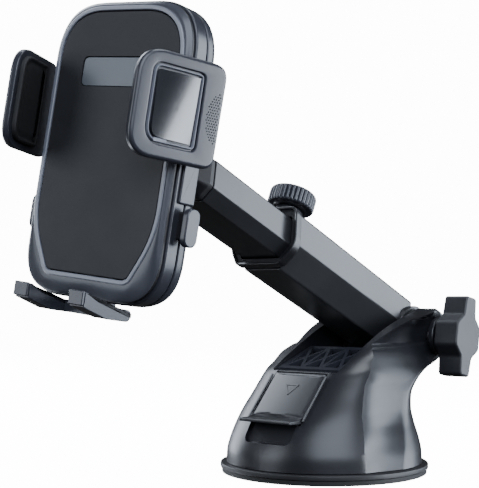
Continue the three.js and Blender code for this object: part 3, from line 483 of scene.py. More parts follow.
LEVER_TOP = Vector((-14, 40.2))
LEVER_FOOT = Vector((-29.4, 23.2))
LEVER_HALF = 12.6
LEVER_BAY = LEVER_HALF + 0.35  # half width of the opening that the lever closes
LEVER_PIN = place_of("lever_hinge") / MM
SLOPE = (LEVER_TOP - LEVER_FOOT).normalized()
OUT = Vector((-SLOPE.y, SLOPE.x))
LEVER_LENGTH = (LEVER_TOP - LEVER_FOOT).length


def on_slope(along, rise):
    """(y, z) of a point measured up the lever from its foot, and out from its face."""
    return LEVER_FOOT + SLOPE * along + OUT * rise


def slope_block(half, over, under, top, foot, corner=0.6):
    """A block on the front slope, with rounded upright edges."""
    ring = outline([
        (-half, -foot, corner),
        (half, -foot, corner),
        (half, LEVER_LENGTH + top, corner),
        (-half, LEVER_LENGTH + top, corner),
    ])
    levels = [[(x, *on_slope(a, rise)) for x, a in ring] for rise in (under, over)]
    return loft(levels)


def rod_x(radius, x0, x1, y, z, count=40):
    ring = circle(radius, count, y, z)
    return loft([along_x(ring, x0), along_x(ring, x1)])


def fork_slot(floor):
    corner, sky = 1.6, 80
    return outline([
        (-FORK_GAP, floor, corner),
        (FORK_GAP, floor, corner),
        (FORK_GAP, sky, 0),
        (-FORK_GAP, sky, 0),
    ])


def dome():
    """The housing: hollow below, with the fork's slot, the lever's bay and the bolt's bore."""
    points, faces = loft(dome_rings(DOME_LEVELS[-1, 0]))
    made = piece(
        "dome_skin", BASE, points, faces, "base", GLOSS_BLACK, "gloss_black", ("dome_housing",)
    )
    inside = dome_rings(35.5, 2.8, 20)
    inside[0] = [(x, y, RIM_TOP - 1) for x, y, z in inside[0]]
    slot, mouth = fork_slot(FORK_FLOOR), fork_slot(FORK_FLOOR + 2.0)
    recess = outline([(-11.4, 14, 2.6), (11.4, 14, 2.6), (11.4, 22.6, 0.4), (-11.4, 22.6, 0.4)])
    cut(made, BASE, [
        loft(inside),
        loft([along_y(slot, -12.9), along_y(slot, 70)]),
        loft([along_y(mouth, -20), along_y(mouth, -12)]),
        slope_block(LEVER_BAY, 6, -2.5, -1.5, 0.2),
        slope_block(LEVER_BAY, 6, -1, 0.7, 0),
        rod_x(2.35, -LEVER_BAY, LEVER_BAY, LEVER_PIN.y, LEVER_PIN.z),
        boxed((-LEVER_BAY, -50, 21), (LEVER_BAY, -27, 23.6)),
        loft([along_y(recess, -50), along_y(inset(recess, 0.01), -29)]),
        boxed((-4.8, -26, 20), (4.8, -10, 37.4)),
        rod_x(3.3, -40, 40, PIVOT.y, PIVOT.z),
        rod_x(5.4, -40, -EAR_SIDE + 3.4, PIVOT.y, PIVOT.z, 6),
    ])
    finished(made, GLOSS_BLACK, 30)


def rims():
    """The rim ring and the suction disc under it, as turned profiles."""
    ring = [(35, 2.1), (41.1, 2.1), (41.35, 2.2), (41.4, 2.5)]
    ring += [(41.4, 3.5), (41.3, 3.8), (41.0, 4.0), (35, 4.0)]
    points, faces = loft(turned(ring, 160, ABOUT_Z), loop=True)
    piece("rim_bead", BASE, points, faces, "base", RIM_BLACK, "gloss_black", ("rim_ring",))
    pad = [(0.01, 0), (40.2, 0), (40.7, 0.15), (40.8, 0.5)]
    pad += [(40.8, 1.9), (40.5, 2.05), (9, 2.05), (0.01, 2.05)]
    points, faces = loft(turned(pad, 160, ABOUT_Z))
    piece("suction_disc", BASE, points, faces, "base", SOFT_BLACK, "soft_black", ("suction_pad",))


def lever():
    """A plate that swells along its middle, its lip, its knuckle and the lines round it."""
    arc = []
    for k in range(13):
        x = LEVER_HALF * (1 - k / 6)
        arc.append((x, LEVER_LENGTH - 0.6 - 1.1 * (1 - (x / LEVER_HALF) ** 2)))
    plate = np.array([(-LEVER_HALF, 0.2), (LEVER_HALF, 0.2)] + arc)
    plate = spaced(plate, 120)
    rings = []
    for rise, by in rounded_levels(-2.2, -0.1, 0.1, 0.45, 4):
        rings.append([(x, *on_slope(a, rise)) for x, a in inset(plate, by)])
    middle = np.array([[0.0, LEVER_LENGTH / 2]])
    for k in range(1, 14):
        t = k / 14
        ring = inset(plate, 0.45) * (1 - t) + middle * t
        swell = [0.75 * (1 - (x / LEVER_HALF) ** 2) - 0.1 for x, a in ring]
        rings.append([(x, *on_slope(a, rise)) for (x, a), rise in zip(ring, swell)])
    look = ("lever", GLOSS_BLACK, "gloss_black")
    piece("lever_plate", BASE, *loft(rings), *look, ("suction_lever",), 40)
    lip = outline([
        (-36.8, 21.8, 0.6),
        (-28.2, 21.5, 0.2),
        (-27.4, 22.8, 0.2),
        (-28.4, 24.1, 0.8),
        (-31.5, 23.1, 2.0),
        (-36.8, 23.0, 0.6),
    ])
    points, faces = loft(slab(lip, along_x, -LEVER_HALF, LEVER_HALF, 0.35))
    piece("lever_lip", BASE, points, faces, *look, (), 40)
    points, faces = rod_x(2, -LEVER_HALF, LEVER_HALF, LEVER_PIN.y, LEVER_PIN.z)
    piece("lever_knuckle", BASE, points, faces, *look, (), 40)
    lever_mark()
    lever_border()
    recess_floor()


def bar_on_slope(start, end, width, height, base=0.0):
    """A thin raised line between two points (x, along) of the lever's face."""
    a, b = Vector(start), Vector(end)
    side = (b - a).normalized().orthogonal() * width / 2
    tip = (b - a).normalized() * width / 2
    corners = [a - tip + side, a - tip - side, b + tip - side, b + tip + side]
    low = [(p.x, *on_slope(p.y, base - 0.2)) for p in corners]
    high = [(p.x, *on_slope(p.y, base + height)) for p in corners]
    return loft([low, high])


def lever_mark():
    """A small triangle drawn in raised lines, pointing at the lip."""
    middle = LEVER_LENGTH * 0.6
    corners = [(-2.9, middle + 1.8), (2.9, middle + 1.8), (0, middle - 2.8)]
    bars = [bar_on_slope(corners[i], corners[(i + 1) % 3], 0.5, 0.16, 0.62) for i in range(3)]
    piece("lever_mark", BASE, *joined(bars), "lever", DARK_SLATE, "gloss_black")


def recess_floor():
    """Sloping floor behind the finger recess."""
    section = [(-34.3, 13.2), (-33.6, 13.2), (-28.4, 19.6), (-28.4, 20.8), (-29.3, 20.8)]
    sheet = loft([along_x(section, -11.8), along_x(section, 11.8)])
    piece("recess_floor", BASE, *sheet, "base", GLOSS_BLACK, "gloss_black", (), 30)


def lever_border():
    """Raised lines of the housing along both sides of the lever."""
    for side, word in SIDES:
        x = side * (LEVER_HALF + 0.95)
        line = bar_on_slope((x, -0.5), (x, LEVER_LENGTH - 2.4), 0.7, 0.35)
        piece(f"lever_border_{word}", BASE, *line, "base", GLOSS_BLACK, "gloss_black")


# ---------- wing knob ----------
def wing_knob():
    """The knob with its two long wings, the collar behind it and the washer on the bolt."""
    inner, outer = 30.0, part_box("wing_knob")[1].x / MM
    lean = math.radians(-11)
    corners = [
        (-3.4, -16.4, 1.6),
        (3.2, -16.4, 1.6),
        (4.2, -8.6, 2.2),
        (9, -4.6, 3.0),
        (9, 4.6, 3.0),
        (4.6, 8.6, 2.2),
        (3.8, 16.4, 1.6),
        (-3.6, 16.4, 1.6),
        (-4.4, 8.6, 2.2),
        (-9, 4.6, 3.0),
        (-9, -4.6, 3.0),
        (-4.4, -8.6, 2.2),
    ]
    ring = outline(corners, 7)
    c, s = math.cos(lean), math.sin(lean)
    ring = np.column_stack((
        PIVOT.y + ring[:, 0] * c - ring[:, 1] * s,
        PIVOT.z + ring[:, 0] * s + ring[:, 1] * c,
    ))
    wings = loft(slab(ring, along_x, inner, outer, 0.7, 1.0, 5))
    piece("knob_wings", BASE, *wings, "knob", WING_BLACK, "satin_slate", ("wing_knob",), 40)
    centre = (0, PIVOT.y, PIVOT.z)
    profile = [(0.01, 28.8), (6.8, 28.8), (7.2, 29.0), (7.4, 29.4), (7.4, 31), (0.01, 31)]
    disc = loft(turned(profile, 64, ABOUT_X, centre))
    piece("knob_collar", BASE, *disc, "knob", DARK_SLATE, "satin_slate")
    profile = [(3.2, 26.3), (7.7, 26.3), (8, 26.6), (8, 28.2), (7.7, 28.5), (3.2, 28.5)]
    disc = loft(turned(profile, 64, ABOUT_X, centre), loop=True)
    piece("knob_washer", BASE, *disc, "knob", GLOSS_BLACK, "soft_black", ("bolt_washer",))


# ---------- arm ----------
# Right half of each section from the bottom up: x, z, corner radius.
OUTER_SECTION = [(8.7, -9.2, 1.2), (14, 1.4, 1.6), (11.7, 14.1, 1.8)]
INNER_SECTION = [(8.8, -5.2, 1.0), (12.6, 0, 1.2), (9.7, 11.2, 1.4)]
COLLAR_SECTION = [(10.8, -8.6, 3.4), (16.6, -1, 8), (11.8, 15.9, 5)]
# Distances from the arm's pivot towards the cradle.
COLLAR_END = 89
LOCK_AT = 80
INNER_END = 133
INNER_TAIL = 58
HOLE_FLOOR = 16
BALL_AT = -(ARM.inverted() @ place_of("ball_pan")).y
BALL_LIFT = (ARM.inverted() @ place_of("ball_pan")).z


def grow(section, by):
    """The section made larger all round; its middle corner only moves outwards."""
    return [
        (x + by, z + (i - 1) * by, max(r + by / 2, 0.3)) for i, (x, z, r) in enumerate(section)
    ]


def tube(section, wall, start, end, fillet=0.3):
    """Rings of a hollow length of section, from start to end along the arm."""
    outer = mirrored(section, 6)
    inner = mirrored(grow(section, -wall), 6)
    rings = slab(outer, along_y, start, end, fillet, fillet, 3)
    return rings + [along_y(inner, end), along_y(inner, start)]


def arm():
    inner_hole = mirrored(grow(INNER_SECTION, 0.45), 6)
    outer = mirrored(OUTER_SECTION, 6)
    mouth = -COLLAR_END + 3.7
    rings = [along_y(inner_hole, -HOLE_FLOOR), along_y(inner_hole, mouth)]
    rings += slab(outer, along_y, mouth, -3.8, 0.2, 0.2, 2)
    look = (ARM_SLATE, "satin_slate")
    made = piece("outer_tube", ARM, *loft(rings), "arm", *look, ("outer_arm",), 30)
    bore = circle(2.4, 24, 0, -LOCK_AT)
    cut(made, ARM, [loft([along_z(bore, 8), along_z(bore, 20)])])
    finished(made, ARM_SLATE, 30)
    hub = [(3.15, -14.7), (12.0, -14.7), (12.4, -14.3), (12.4, 14.3), (12.0, 14.7), (3.15, 14.7)]
    rings = turned(hub, 96, ABOUT_X)
    piece("arm_hub", ARM, *loft(rings, loop=True), "arm", *look)
    collar()
    rings = tube(INNER_SECTION, 1.8, -INNER_END, -INNER_TAIL, 0.25)
    piece("inner_tube", ARM, *loft(rings, loop=True), "slider", *look, ("inner_arm",), 30)
    end_block()


def collar():
    """A rounded hoop round the tube's mouth, and the boss and bridge that hold the lock screw."""
    shape = mirrored(COLLAR_SECTION, 12)
    throat = mirrored(grow(INNER_SECTION, 0.6), 8)
    seat = mirrored(grow(OUTER_SECTION, GAP), 8)
    openings = [
        loft([along_y(throat, -COLLAR_END - 2), along_y(throat, -60)]),
        loft([along_y(seat, -COLLAR_END + 3.4), along_y(seat, -60)]),
    ]
    levels = [(0.9, 1.0), (1.2, 0.75), (4.0, 0.75), (4.2, 1.0)]
    rings = [along_y(inset(shape, by), -COLLAR_END + at) for at, by in levels]
    look = ("arm", DARK_SLATE, "gloss_black")
    made = piece("collar_face", ARM, *loft(rings), *look, ("arm_collar",), 40)
    finished(cut(made, ARM, openings), DARK_SLATE, 40)
    inner = inset(shape, 0.95)
    rings = slab(shape, along_y, -COLLAR_END, -COLLAR_END + 3.4, 0.45, 0.6, 5)
    rings += [along_y(inner, -COLLAR_END + 3.3), along_y(inner, -COLLAR_END + 0.2)]
    piece("collar_lip", ARM, *loft(rings, loop=True), *look, (), 40)
    boss = [(2.4, 14.4), (6.0, 14.4), (5.8, 15.2), (5.6, 18.4), (5.2, 19), (2.4, 19)]
    rings = turned(boss, 64, ABOUT_Z, (0, -LOCK_AT, 0))
    piece("collar_boss", ARM, *loft(rings, loop=True), "arm", GLOSS_BLACK, "gloss_black")
    near, far = -COLLAR_END + 0.9, 5.4 - LOCK_AT
    bridge = outline([(-6.6, near, 2.6), (6.6, near, 2.6), (6.2, far, 4), (-6.2, far, 4)])
    points, faces = loft(slab(bridge, along_z, 14.4, 16.3, 0.1, 0.9))
    piece("collar_bridge", ARM, points, faces, "arm", SATIN_SLATE, "gloss_black")


def end_block():
    """The dark block at the inner arm's end, narrowing to a round neck for the ball."""
    def ring(points, at):
        return along_y(spaced(points, 72), -INNER_END - at)

    levels = [(-0.3, GAP), (-0.1, GAP + 0.3), (-0.1, 2.2), (-0.5, 2.8), (-2.6, 5.6), (-3.4, 6.6)]
    body = [ring(mirrored(grow(INNER_SECTION, by)), at) for by, at in levels]
    waist = body[-1]
    for radius, at in ((6.0, 8.1), (5.4, 8.4)):
        body.append(match_start(waist, ring(circle(radius, 72, 0, BALL_LIFT), at)))
    look = (RIM_BLACK, "gloss_black")
    piece("end_block", ARM, *loft(body), "slider", *look, ("arm_end_block",), 30)


def match_start(reference, ring):
    """The ring turned so that its first point is the one nearest the reference's first."""
    base = Vector(reference[0])
    first = min(range(len(ring)), key=lambda i: (Vector(ring[i]) - base).length)
    return ring[first:] + ring[:first]


def lock_knob():
    """A knurled wheel above the collar's boss. Its profile: height, radius, depth of the knurls."""
    count, knurls = 384, 32
    base = 19 + GAP
    profile = [(0.6, 8.6, 0), (0.9, 9.1, 0.5), (1.6, 9.35, 1), (6.2, 9.35, 1)]
    profile += [(7.0, 9.0, 0.6), (7.4, 8.4, 0.1), (7.45, 6, 0)]
    rings = []
    for height, radius, depth in profile:
        ring = []
        for k in range(count):
            turn = 2 * math.pi * k / count
            wave = 0.5 - 0.5 * math.cos(turn * knurls)
            r = radius - 0.8 * depth * (1 - wave**0.3)
            ring.append((r * math.cos(turn), -LOCK_AT + r * math.sin(turn), base + height))
        rings.append(ring)
    look = (SATIN_SLATE, "satin_slate")
    piece("knurled_wheel", ARM, *loft(rings), "lock", *look, ("lock_knob",), 50)
    foot = [(2.5, 0), (6.4, 0), (6.8, 0.3), (6.8, 1.0), (2.5, 1.0)]
    rings = turned(foot, 64, ABOUT_Z, (0, -LOCK_AT, base))
    piece("wheel_foot", ARM, *loft(rings, loop=True), "lock", DARK_SLATE, "satin_slate")


# ---------- ball joint ----------
CRADLE_BACK = 16.5
BALL_RADIUS = 8.5
NECK_RADIUS = 3.6


def ball_joint():
    """The ball on its neck, and the grooved nut round the socket."""
    profile = []
    for k in range(25):
        turn = math.pi * (1 - k / 24) * 0.999 + 0.0005
        profile.append((BALL_RADIUS * math.sin(turn), BALL_RADIUS * math.cos(turn)))
    neck = [(r, h) for r, h in profile if not (h > 0 and r < NECK_RADIUS)]
    shank = BALL_AT - INNER_END - 8.4 - GAP
    neck += [(NECK_RADIUS, shank - 0.4), (3.3, shank), (0.01, shank)]
    rings = turned(neck, 64, ABOUT_Y, (0, -BALL_AT, BALL_LIFT))
    piece("ball", ARM, *loft(rings), "slider", STEEL, "steel", ("ball_stud",), 40)
    inner, start, end = 11.4 + GAP, CRADLE_BACK + GAP + 3.4, BALL_IN_CRADLE.y + 5.2
    count, grips = 288, 12
    nut = [
        (inner, start, 0),
        (13.3, start, 0),
        (13.8, start + 0.5, 1),
        (13.8, end - 4.6, 1),
        (13.3, end - 3.6, 0.3),
        (10.9, end - 0.2, 0),
        (10.4, end, 0),
        (9.7, end, 0),
        (9.7, end - 1.2, 0),
        (inner, end - 1.2, 0),
    ]
    rings = []
    for radius, at, depth in nut:
        ring = []
        for k in range(count):
            turn = 2 * math.pi * k / count
            notch = max(0.0, math.cos(turn * grips)) ** 6
            r = radius - 0.7 * depth * notch
            ring.append((r * math.cos(turn), at, BALL_IN_CRADLE.z + r * math.sin(turn)))
        rings.append(ring)
    look = (DARK_SLATE, "satin_slate")
    piece("nut_ring", CRADLE, *loft(rings, loop=True), "nut", *look, ("lock_nut",))


# ---------- cradle ----------
HALF_WIDTH = 29.8
# Right halves of the shell's and the pad's outlines from the bottom up: x, z, corner radius.
CRADLE_CORNERS = [(HALF_WIDTH, -55, 16.5), (HALF_WIDTH, 44.8, 19)]
PAD_CORNERS = [(17.4, -46.8, 3), (25.6, -31.6, 34), (25.5, 40.5, 16.5)]
RIM_WIDE = 1.8
WALL = 2.2
SEAM = 9.1  # depth of the seam between the front and back shells
COUNT = 240  # points in every outline of the cradle


def shell(by):
    return inset(spaced(mirrored(CRADLE_CORNERS, 16), COUNT), by)


def pad_edge(by):
    return inset(spaced(mirrored(PAD_CORNERS, 14), COUNT), by)


def cradle():
    bezel()
    pad()
    shells()
    side_rails()
    buttons()


def bezel():
    """A polished rim round the pad and a broad satin slope from it to the shell's edge."""
    rim = [
        along_y(pad_edge(-GAP), 2.4),
        along_y(pad_edge(-GAP), -0.1),
        along_y(pad_edge(-GAP - 0.25), -0.35),
        along_y(pad_edge(-RIM_WIDE + 0.3), -0.4),
        along_y(pad_edge(-RIM_WIDE), -0.2),
        along_y(pad_edge(-RIM_WIDE - 0.1), 2.4),
    ]
    piece("bezel_rim", CRADLE, *loft(rim, loop=True), "cradle", RIM_GREY, "rim_grey")
    slope = [along_y(pad_edge(-RIM_WIDE), 1.8), along_y(pad_edge(-RIM_WIDE), 0.05)]
    near, far = pad_edge(-RIM_WIDE - 0.1), shell(1.2)
    far = rolled(near, far)
    for k in range(9):
        t = k / 8
        drop = 1.1 * (1 - math.cos(t * math.pi / 2)) ** 1.1 + 0.05
        slope.append(along_y(near * (1 - t) + far * t, drop))
    slope.append(along_y(rolled(near, shell(0.8)), 1.5))
    slope.append(along_y(rolled(near, shell(0.9)), 1.8))
    look = ("cradle", BEZEL_SLATE, "rim_grey")
    piece("bezel_slope", CRADLE, *loft(slope, loop=True), *look, ("front_bezel",))


def rolled(reference, ring):
    """The outline's points renumbered to start beside the reference's first."""
    first = int(np.argmin(np.hypot(*(ring - reference[0]).T)))
    return np.roll(ring, -first, axis=0)


def pad():
    """The pad's sheet with a shallow window in it, and the glossy strip in the window."""
    half, low, high, corner = 15.2, 15.2, 25.4, 2.4
    window = outline([
        (-half, low, corner),
        (half, low, corner),
        (half, high, corner),
        (-half, high, corner),
    ])
    levels = [(2.7, 0.0), (0.35, 0.0), (0.1, 0.12), (0.0, 0.4)]
    rings = [along_y(inset(pad_edge(0), by), at) for at, by in levels]
    look = ("cradle", SOFT_CHARCOAL, "soft_charcoal")
    made = piece("pad_sheet", CRADLE, *loft(rings), *look, ("cradle_pad",), 40)
    cut(made, CRADLE, [loft([along_y(window, -1), along_y(window, 1.2)])])
    finished(made, SOFT_CHARCOAL, 40)
    strip = slab(inset(window, 0.25), along_y, 1.15, 0.3, 0.05, 0.2, 3)
    look = ("cradle", WINDOW_SLATE, "gloss_black")
    piece("window_glaze", CRADLE, *loft(strip), *look, ("window_strip",), 40)


def shells():
    """Mid band, front shell and back shell, with softened rims beside the seams."""
    band = loft(ringed(0.9, 4.2, 1.9, 2.9, 0.2), loop=True)
    piece("band_ring", CRADLE, *band, "cradle", RIM_BLACK, "rim_grey", ("mid_band",))
    front = loft(ringed(0.0, WALL, 3.1, SEAM - 0.4, 0.7), loop=True)
    look = ("cradle", SATIN_SLATE, "satin_slate")
    piece("front_half", CRADLE, *front, *look, ("front_shell",))
    roll, floor = 6.4, CRADLE_BACK - WALL
    inner_roll = min(4.8, floor - SEAM - 0.4)
    rings = []
    for k in range(8, -1, -1):
        turn = math.pi / 2 * k / 8
        by = WALL + inner_roll * (1 - math.cos(turn))
        rings.append(along_y(shell(by), floor - inner_roll * (1 - math.sin(turn))))
    rings += [along_y(shell(by), at) for by, at in ((WALL, SEAM), (0.3, SEAM), (0.05, SEAM + 0.3))]
    for k in range(13):
        turn = math.pi / 2 * k / 12
        by = roll * (1 - math.cos(turn))
        rings.append(along_y(shell(by), CRADLE_BACK - roll * 0.9 * (1 - math.sin(turn))))
    made = piece("back_half", CRADLE, *loft(rings), *look, ("back_shell",))
    wells = []
    for x in (-20, 20):
        for z in (33, -44):
            narrow, wide = circle(2.7, 32, x, z), circle(2.8, 32, x, z)
            wells.append(loft([along_y(narrow, CRADLE_BACK - 1.8), along_y(wide, 30)]))
    cut(made, CRADLE, wells)
    finished(made, SATIN_SLATE, 35)


def ringed(by, wall, start, end, fillet):
    """Rings of a hoop that follows the shell's outline, from by to wall inside it."""
    levels = rounded_levels(start, end, fillet, fillet, 3)
    rings = [along_y(shell(by + d), at) for at, d in levels]
    return rings + [along_y(shell(wall), end), along_y(shell(wall), start)]


def side_rails():
    """Raised guide on each side of the shell between the jaw and the release button."""
    rail = outline([(4.6, -20.6, 0.8), (12.4, -20.6, 0.8), (12.4, -3.2, 0.8), (4.6, -3.2, 0.8)])
    for side, word in SIDES:
        rings = slab(rail, along_x, side * (HALF_WIDTH - 1.2), side * (HALF_WIDTH + 1.0), 0, 0.7)
        piece(f"side_rail_{word}", CRADLE, *loft(rings), "cradle", SATIN_SLATE, "satin_slate")


def buttons():
    """A cap and a neck for each release button."""
    low, high = -33.9, -21.5
    cap = outline([(5.2, low, 3.2), (11.8, low, 3.2), (11.8, high, 3.2), (5.2, high, 3.2)])
    neck = outline([(6.4, -32, 0.8), (10.6, -32, 0.8), (10.6, -22.8, 0.8), (6.4, -22.8, 0.8)])
    for side, word in SIDES:
        body = f"button_{word}"
        rings = slab(cap, along_x, side * 32.3, side * 34.5, 0.3, 0.6)
        look = (SATIN_SLATE, "satin_slate")
        piece(f"button_cap_{word}", CRADLE, *loft(rings), body, *look, (f"release_cap_{word}",))
        rings = slab(neck, along_x, side * 24.5, side * 33, 0)
        piece(f"button_neck_{word}", CRADLE, *loft(rings), body, DARK_SLATE, "satin_slate")


# ---------- jaws ----------
JAW_ANGLE = math.radians(20.8)
JAW_FRONT = Vector((27.7, -20.6))
JAW_LENGTH = 32
JAW_TOP = 24.4
JAW_BOTTOM = -9
JAW_THICK = 2.8
JAW_BACK = Vector((math.sin(JAW_ANGLE), math.cos(JAW_ANGLE)))
JAW_INWARD = Vector((-JAW_BACK.y, JAW_BACK.x))
# Outlines on the jaw: distance back from its front edge, z, corner radius.
JAW_CORNERS = [
    (0, JAW_BOTTOM, 8.5),
    (JAW_LENGTH - 0.6, JAW_BOTTOM, 4.5),
    (JAW_LENGTH, JAW_TOP, 5.0),
    (0, JAW_TOP, 9.5),
]
PANEL_CORNERS = [(5.1, -4.6, 6.0), (23.9, -4.6, 2.2), (23.9, 20.3, 2.2), (5.1, 20.3, 3.4)]
PANEL_MIDDLE = (14.4, 7.9)


def jaw_ring(side, points, deep):
    """A ring on the jaw, sunk inwards from its outer face."""
    ring = []
    for along, z in points:
        at = JAW_FRONT + JAW_BACK * along + JAW_INWARD * deep
        ring.append((side * at.x, at.y, z))
    return ring


def jaw(side, word):
    """The jaw's plate with a frame, a trim ring and a glossy crowned panel set in it."""
    body = f"jaw_{word}"
    edge = spaced(outline(JAW_CORNERS, 12), 160)
    panel = rolled(edge, spaced(outline(PANEL_CORNERS, 12), 160))

    def panel_rings(levels):
        return [jaw_ring(side, inset(panel, by), deep) for deep, by in levels]

    levels = rounded_levels(JAW_THICK, 0, 0.5, 1.3, 6)
    rings = [jaw_ring(side, inset(edge, by), deep) for deep, by in levels]
    rings += panel_rings([(0.0, -0.5), (0.12, -0.15), (0.4, 0.0), (1.0, 0.1)])
    look = (SATIN_SLATE, "gloss_black")
    piece(f"jaw_shell_{word}", CRADLE, *loft(rings), body, *look, (f"jaw_plate_{word}",))
    tray = [(0.95, 0.5), (0.1, 0.7), (-0.05, 0.85), (-0.05, 1.0), (0.1, 1.15), (0.95, 1.3)]
    trim = loft(panel_rings(tray), loop=True)
    piece(f"jaw_rim_{word}", CRADLE, *trim, body, RIM_GREY, "rim_grey", (f"jaw_trim_{word}",))
    face = panel_rings([(1.0, 2.0)]) + [crowned(side, inset(panel, 2.05))]
    middle = np.array([PANEL_MIDDLE])
    for k in range(12):
        inner = inset(panel, 2.3) * (1 - k / 12) + middle * (k / 12)
        face.append(crowned(side, inner))
    look = (PANEL_GLOSS, "gloss_black")
    piece(f"jaw_face_{word}", CRADLE, *loft(face), body, *look, (f"jaw_panel_{word}",), 40)
    jaw_tab(side, word)
    jaw_dots(side, word)
    cushion(side, word)


def crowned(side, ring):
    """A ring on the panel, which bulges along a slanting middle line."""
    points = []
    for along, z in ring:
        across = 0.85 * (along - PANEL_MIDDLE[0]) / 9.4 - 0.45 * (z - PANEL_MIDDLE[1]) / 12.5
        points += jaw_ring(side, [(along, z)], 0.55 - 0.9 * (1 - across**2))
    return points


def jaw_tab(side, word):
    """Finger tab under the panel, at its lower front corner."""
    tab = outline([(8.4, -3.9, 0.5), (13.2, -3.9, 0.5), (13.2, -2.6, 0.5), (8.4, -2.6, 0.5)], 4)
    levels = rounded_levels(0.9, -0.1, 0, 0.2, 3)
    rings = [jaw_ring(side, inset(tab, by), deep) for deep, by in levels]
    piece(f"jaw_tab_{word}", CRADLE, *loft(rings), f"jaw_{word}", RIM_GREY, "rim_grey")


def jaw_dots(side, word):
    """A crescent-shaped patch of small grip dots near the jaw's rear edge."""
    middle, radius = (JAW_TOP + JAW_BOTTOM) / 2 - 0.6, 7.6
    dots = []
    for row in range(-9, 10):
        z = middle + row * 0.86
        bulge = math.sqrt(max(0.0, 1 - ((z - middle) / (radius + 0.6)) ** 2))
        for column in range(5):
            along = JAW_LENGTH - 1.9 - column * 0.9 - (0.45 if row % 2 else 0.0)
            if JAW_LENGTH - 1.2 - along > 4.9 * bulge:
                continue
            spot = circle(0.27, 10, along, z)
            levels = [(0.05, 0.0), (-0.05, 0.0), (-0.16, 0.14)]
            dots.append(loft([jaw_ring(side, inset(spot, by), deep) for deep, by in levels]))
    grip = joined(dots)
    piece(f"jaw_grip_{word}", CRADLE, *grip, f"jaw_{word}", SOFT_BLACK, "soft_black")


def cushion(side, word):
    """Silicone cushion on the jaw's inner face, with a raised line round it."""
    low, high = JAW_BOTTOM + 2.4, JAW_TOP - 2.4
    edge = outline([(2.2, low, 6), (20.5, low, 1.6), (20.5, high, 1.6), (2.2, high, 6)], 10)
    shape = spaced(edge, 120)
    profile = [(0.1, 0.0), (1.1, 0.0), (1.5, 0.25), (1.6, 0.7), (1.5, 1.1)]
    profile += [(1.2, 1.5), (1.2, 2.2), (1.45, 2.8), (1.5, 4.2)]
    rings = [jaw_ring(side, inset(shape, by), JAW_THICK + deep) for deep, by in profile]
    look = (f"jaw_{word}", SOFT_BLACK, "soft_black")
    made = piece(f"jaw_cushion_{word}", CRADLE, *loft(rings), *look, (f"jaw_pad_{word}",), 50)


# ---------- foot ----------
def foot():
    """Two curved prongs with square tips, each with a dark seam behind its tip."""
    profile = outline([
        (8.4, -60.2, 2.4),
        (-3.5, -59.9, 6),
        (-14.6, -57, 0.3),
        (-14.6, -52.1, 0.3),
        (-13.4, -52.2, 0.4),
        (-8.5, -54.6, 9),
        (4, -56.1, 3),
        (8.4, -56.1, 2.2),
    ])
    look = ("foot", SATIN_SLATE, "satin_slate")
    for side, word in SIDES:
        near, far = side * 12 - 3, side * 12 + 3
        rings = slab(profile, along_x, near, far, 0.3)
        piece(f"foot_prong_{word}", CRADLE, *loft(rings), *look, (f"foot_hook_{word}",))
        low, high = -56.5, -51.9
        tip = outline([(near, low, 0.4), (far, low, 0.4), (far, high, 0.4), (near, high, 0.4)], 4)
        rings = slab(tip, along_y, -15.0, -15.8, 0, 0.35)
        piece(f"foot_tip_{word}", CRADLE, *loft(rings), *look)
        neck = boxed((near + 0.5, -15.3, -56.0), (far - 0.5, -14.6, -52.5))
        piece(f"foot_seam_{word}", CRADLE, *neck, "foot", SOFT_BLACK, "soft_black")


# ---------- CAD nodes that keep their shape ----------
KEPT = {
    "fork_lattice": SATIN_SLATE,
    "guide_spider": SATIN_SLATE,
    "pull_stem": SATIN_SLATE,
    "lever_cam": SATIN_SLATE,
    "lever_pin": STEEL,
    "knob_bolt": STEEL,
    "captive_nut": STEEL,
    "friction_washer_left": SOFT_BLACK,
    "friction_washer_right": SOFT_BLACK,
    "lock_screw": STEEL,
    "inner_arm_tail": SOFT_BLACK,
    "ball_liner": SOFT_BLACK,
    "ball_socket": GLOSS_BLACK,
    "pinion_gear": BRASS,
    "pinion_axle": STEEL,
    "foot_bracket": SATIN_SLATE,
    "jaw_rack_left": DARK_SLATE,
    "jaw_rack_right": DARK_SLATE,
    "release_slider_left": SOFT_BLACK,
    "release_slider_right": SOFT_BLACK,
    **{f"case_screw_{i}": STEEL for i in range(1, 5)},
}


def keep_nodes():
    """Materials and softened edges for the CAD pieces that stay."""
    for name, finish in KEPT.items():
        kept = NODES[name]
        finished(kept, finish, 35)
        bevel = kept.modifiers.new("soft_edges", "BEVEL")
        bevel.width = 0.15 * MM
        bevel.segments = 2
        bevel.limit_method = "ANGLE"
        bevel.angle_limit = math.radians(40)


# ---------- studio ----------
# Name, direction from the object, distance, width, height, watts, colour.
LIGHTS = [
    ("right_box", (0.62, 0.78, 0.12), 0.8, 0.60, 0.60, 8.6, (0.80, 0.88, 1.0)),
    ("side_box", (0.93, 0.36, -0.04), 0.8, 0.24, 0.46, 6.0, (0.84, 0.90, 1.0)),
    ("front_box", (-0.46, -0.87, 0.22), 0.9, 0.42, 0.50, 3.2, (0.84, 0.90, 1.0)),
    ("left_box", (-0.90, 0.08, 0.42), 0.9, 0.42, 1.15, 11, (0.82, 0.89, 1.0)),
    ("low_box", (-0.86, -0.20, -0.40), 0.9, 0.40, 0.30, 2.2, (0.84, 0.90, 1.0)),
    ("dome_box", (0.66, -0.54, 0.52), 0.9, 0.85, 0.85, 13, (0.80, 0.87, 1.0)),
    ("top_box", (0.15, 0.25, 1.0), 0.9, 0.5, 0.4, 4, (0.86, 0.92, 1.0)),
]
WHITE_LEVEL = 14.0  # what the camera sees as white in the backdrop and the floor
FILL_LEVEL = 0.045  # what the backdrop adds to the object's own light


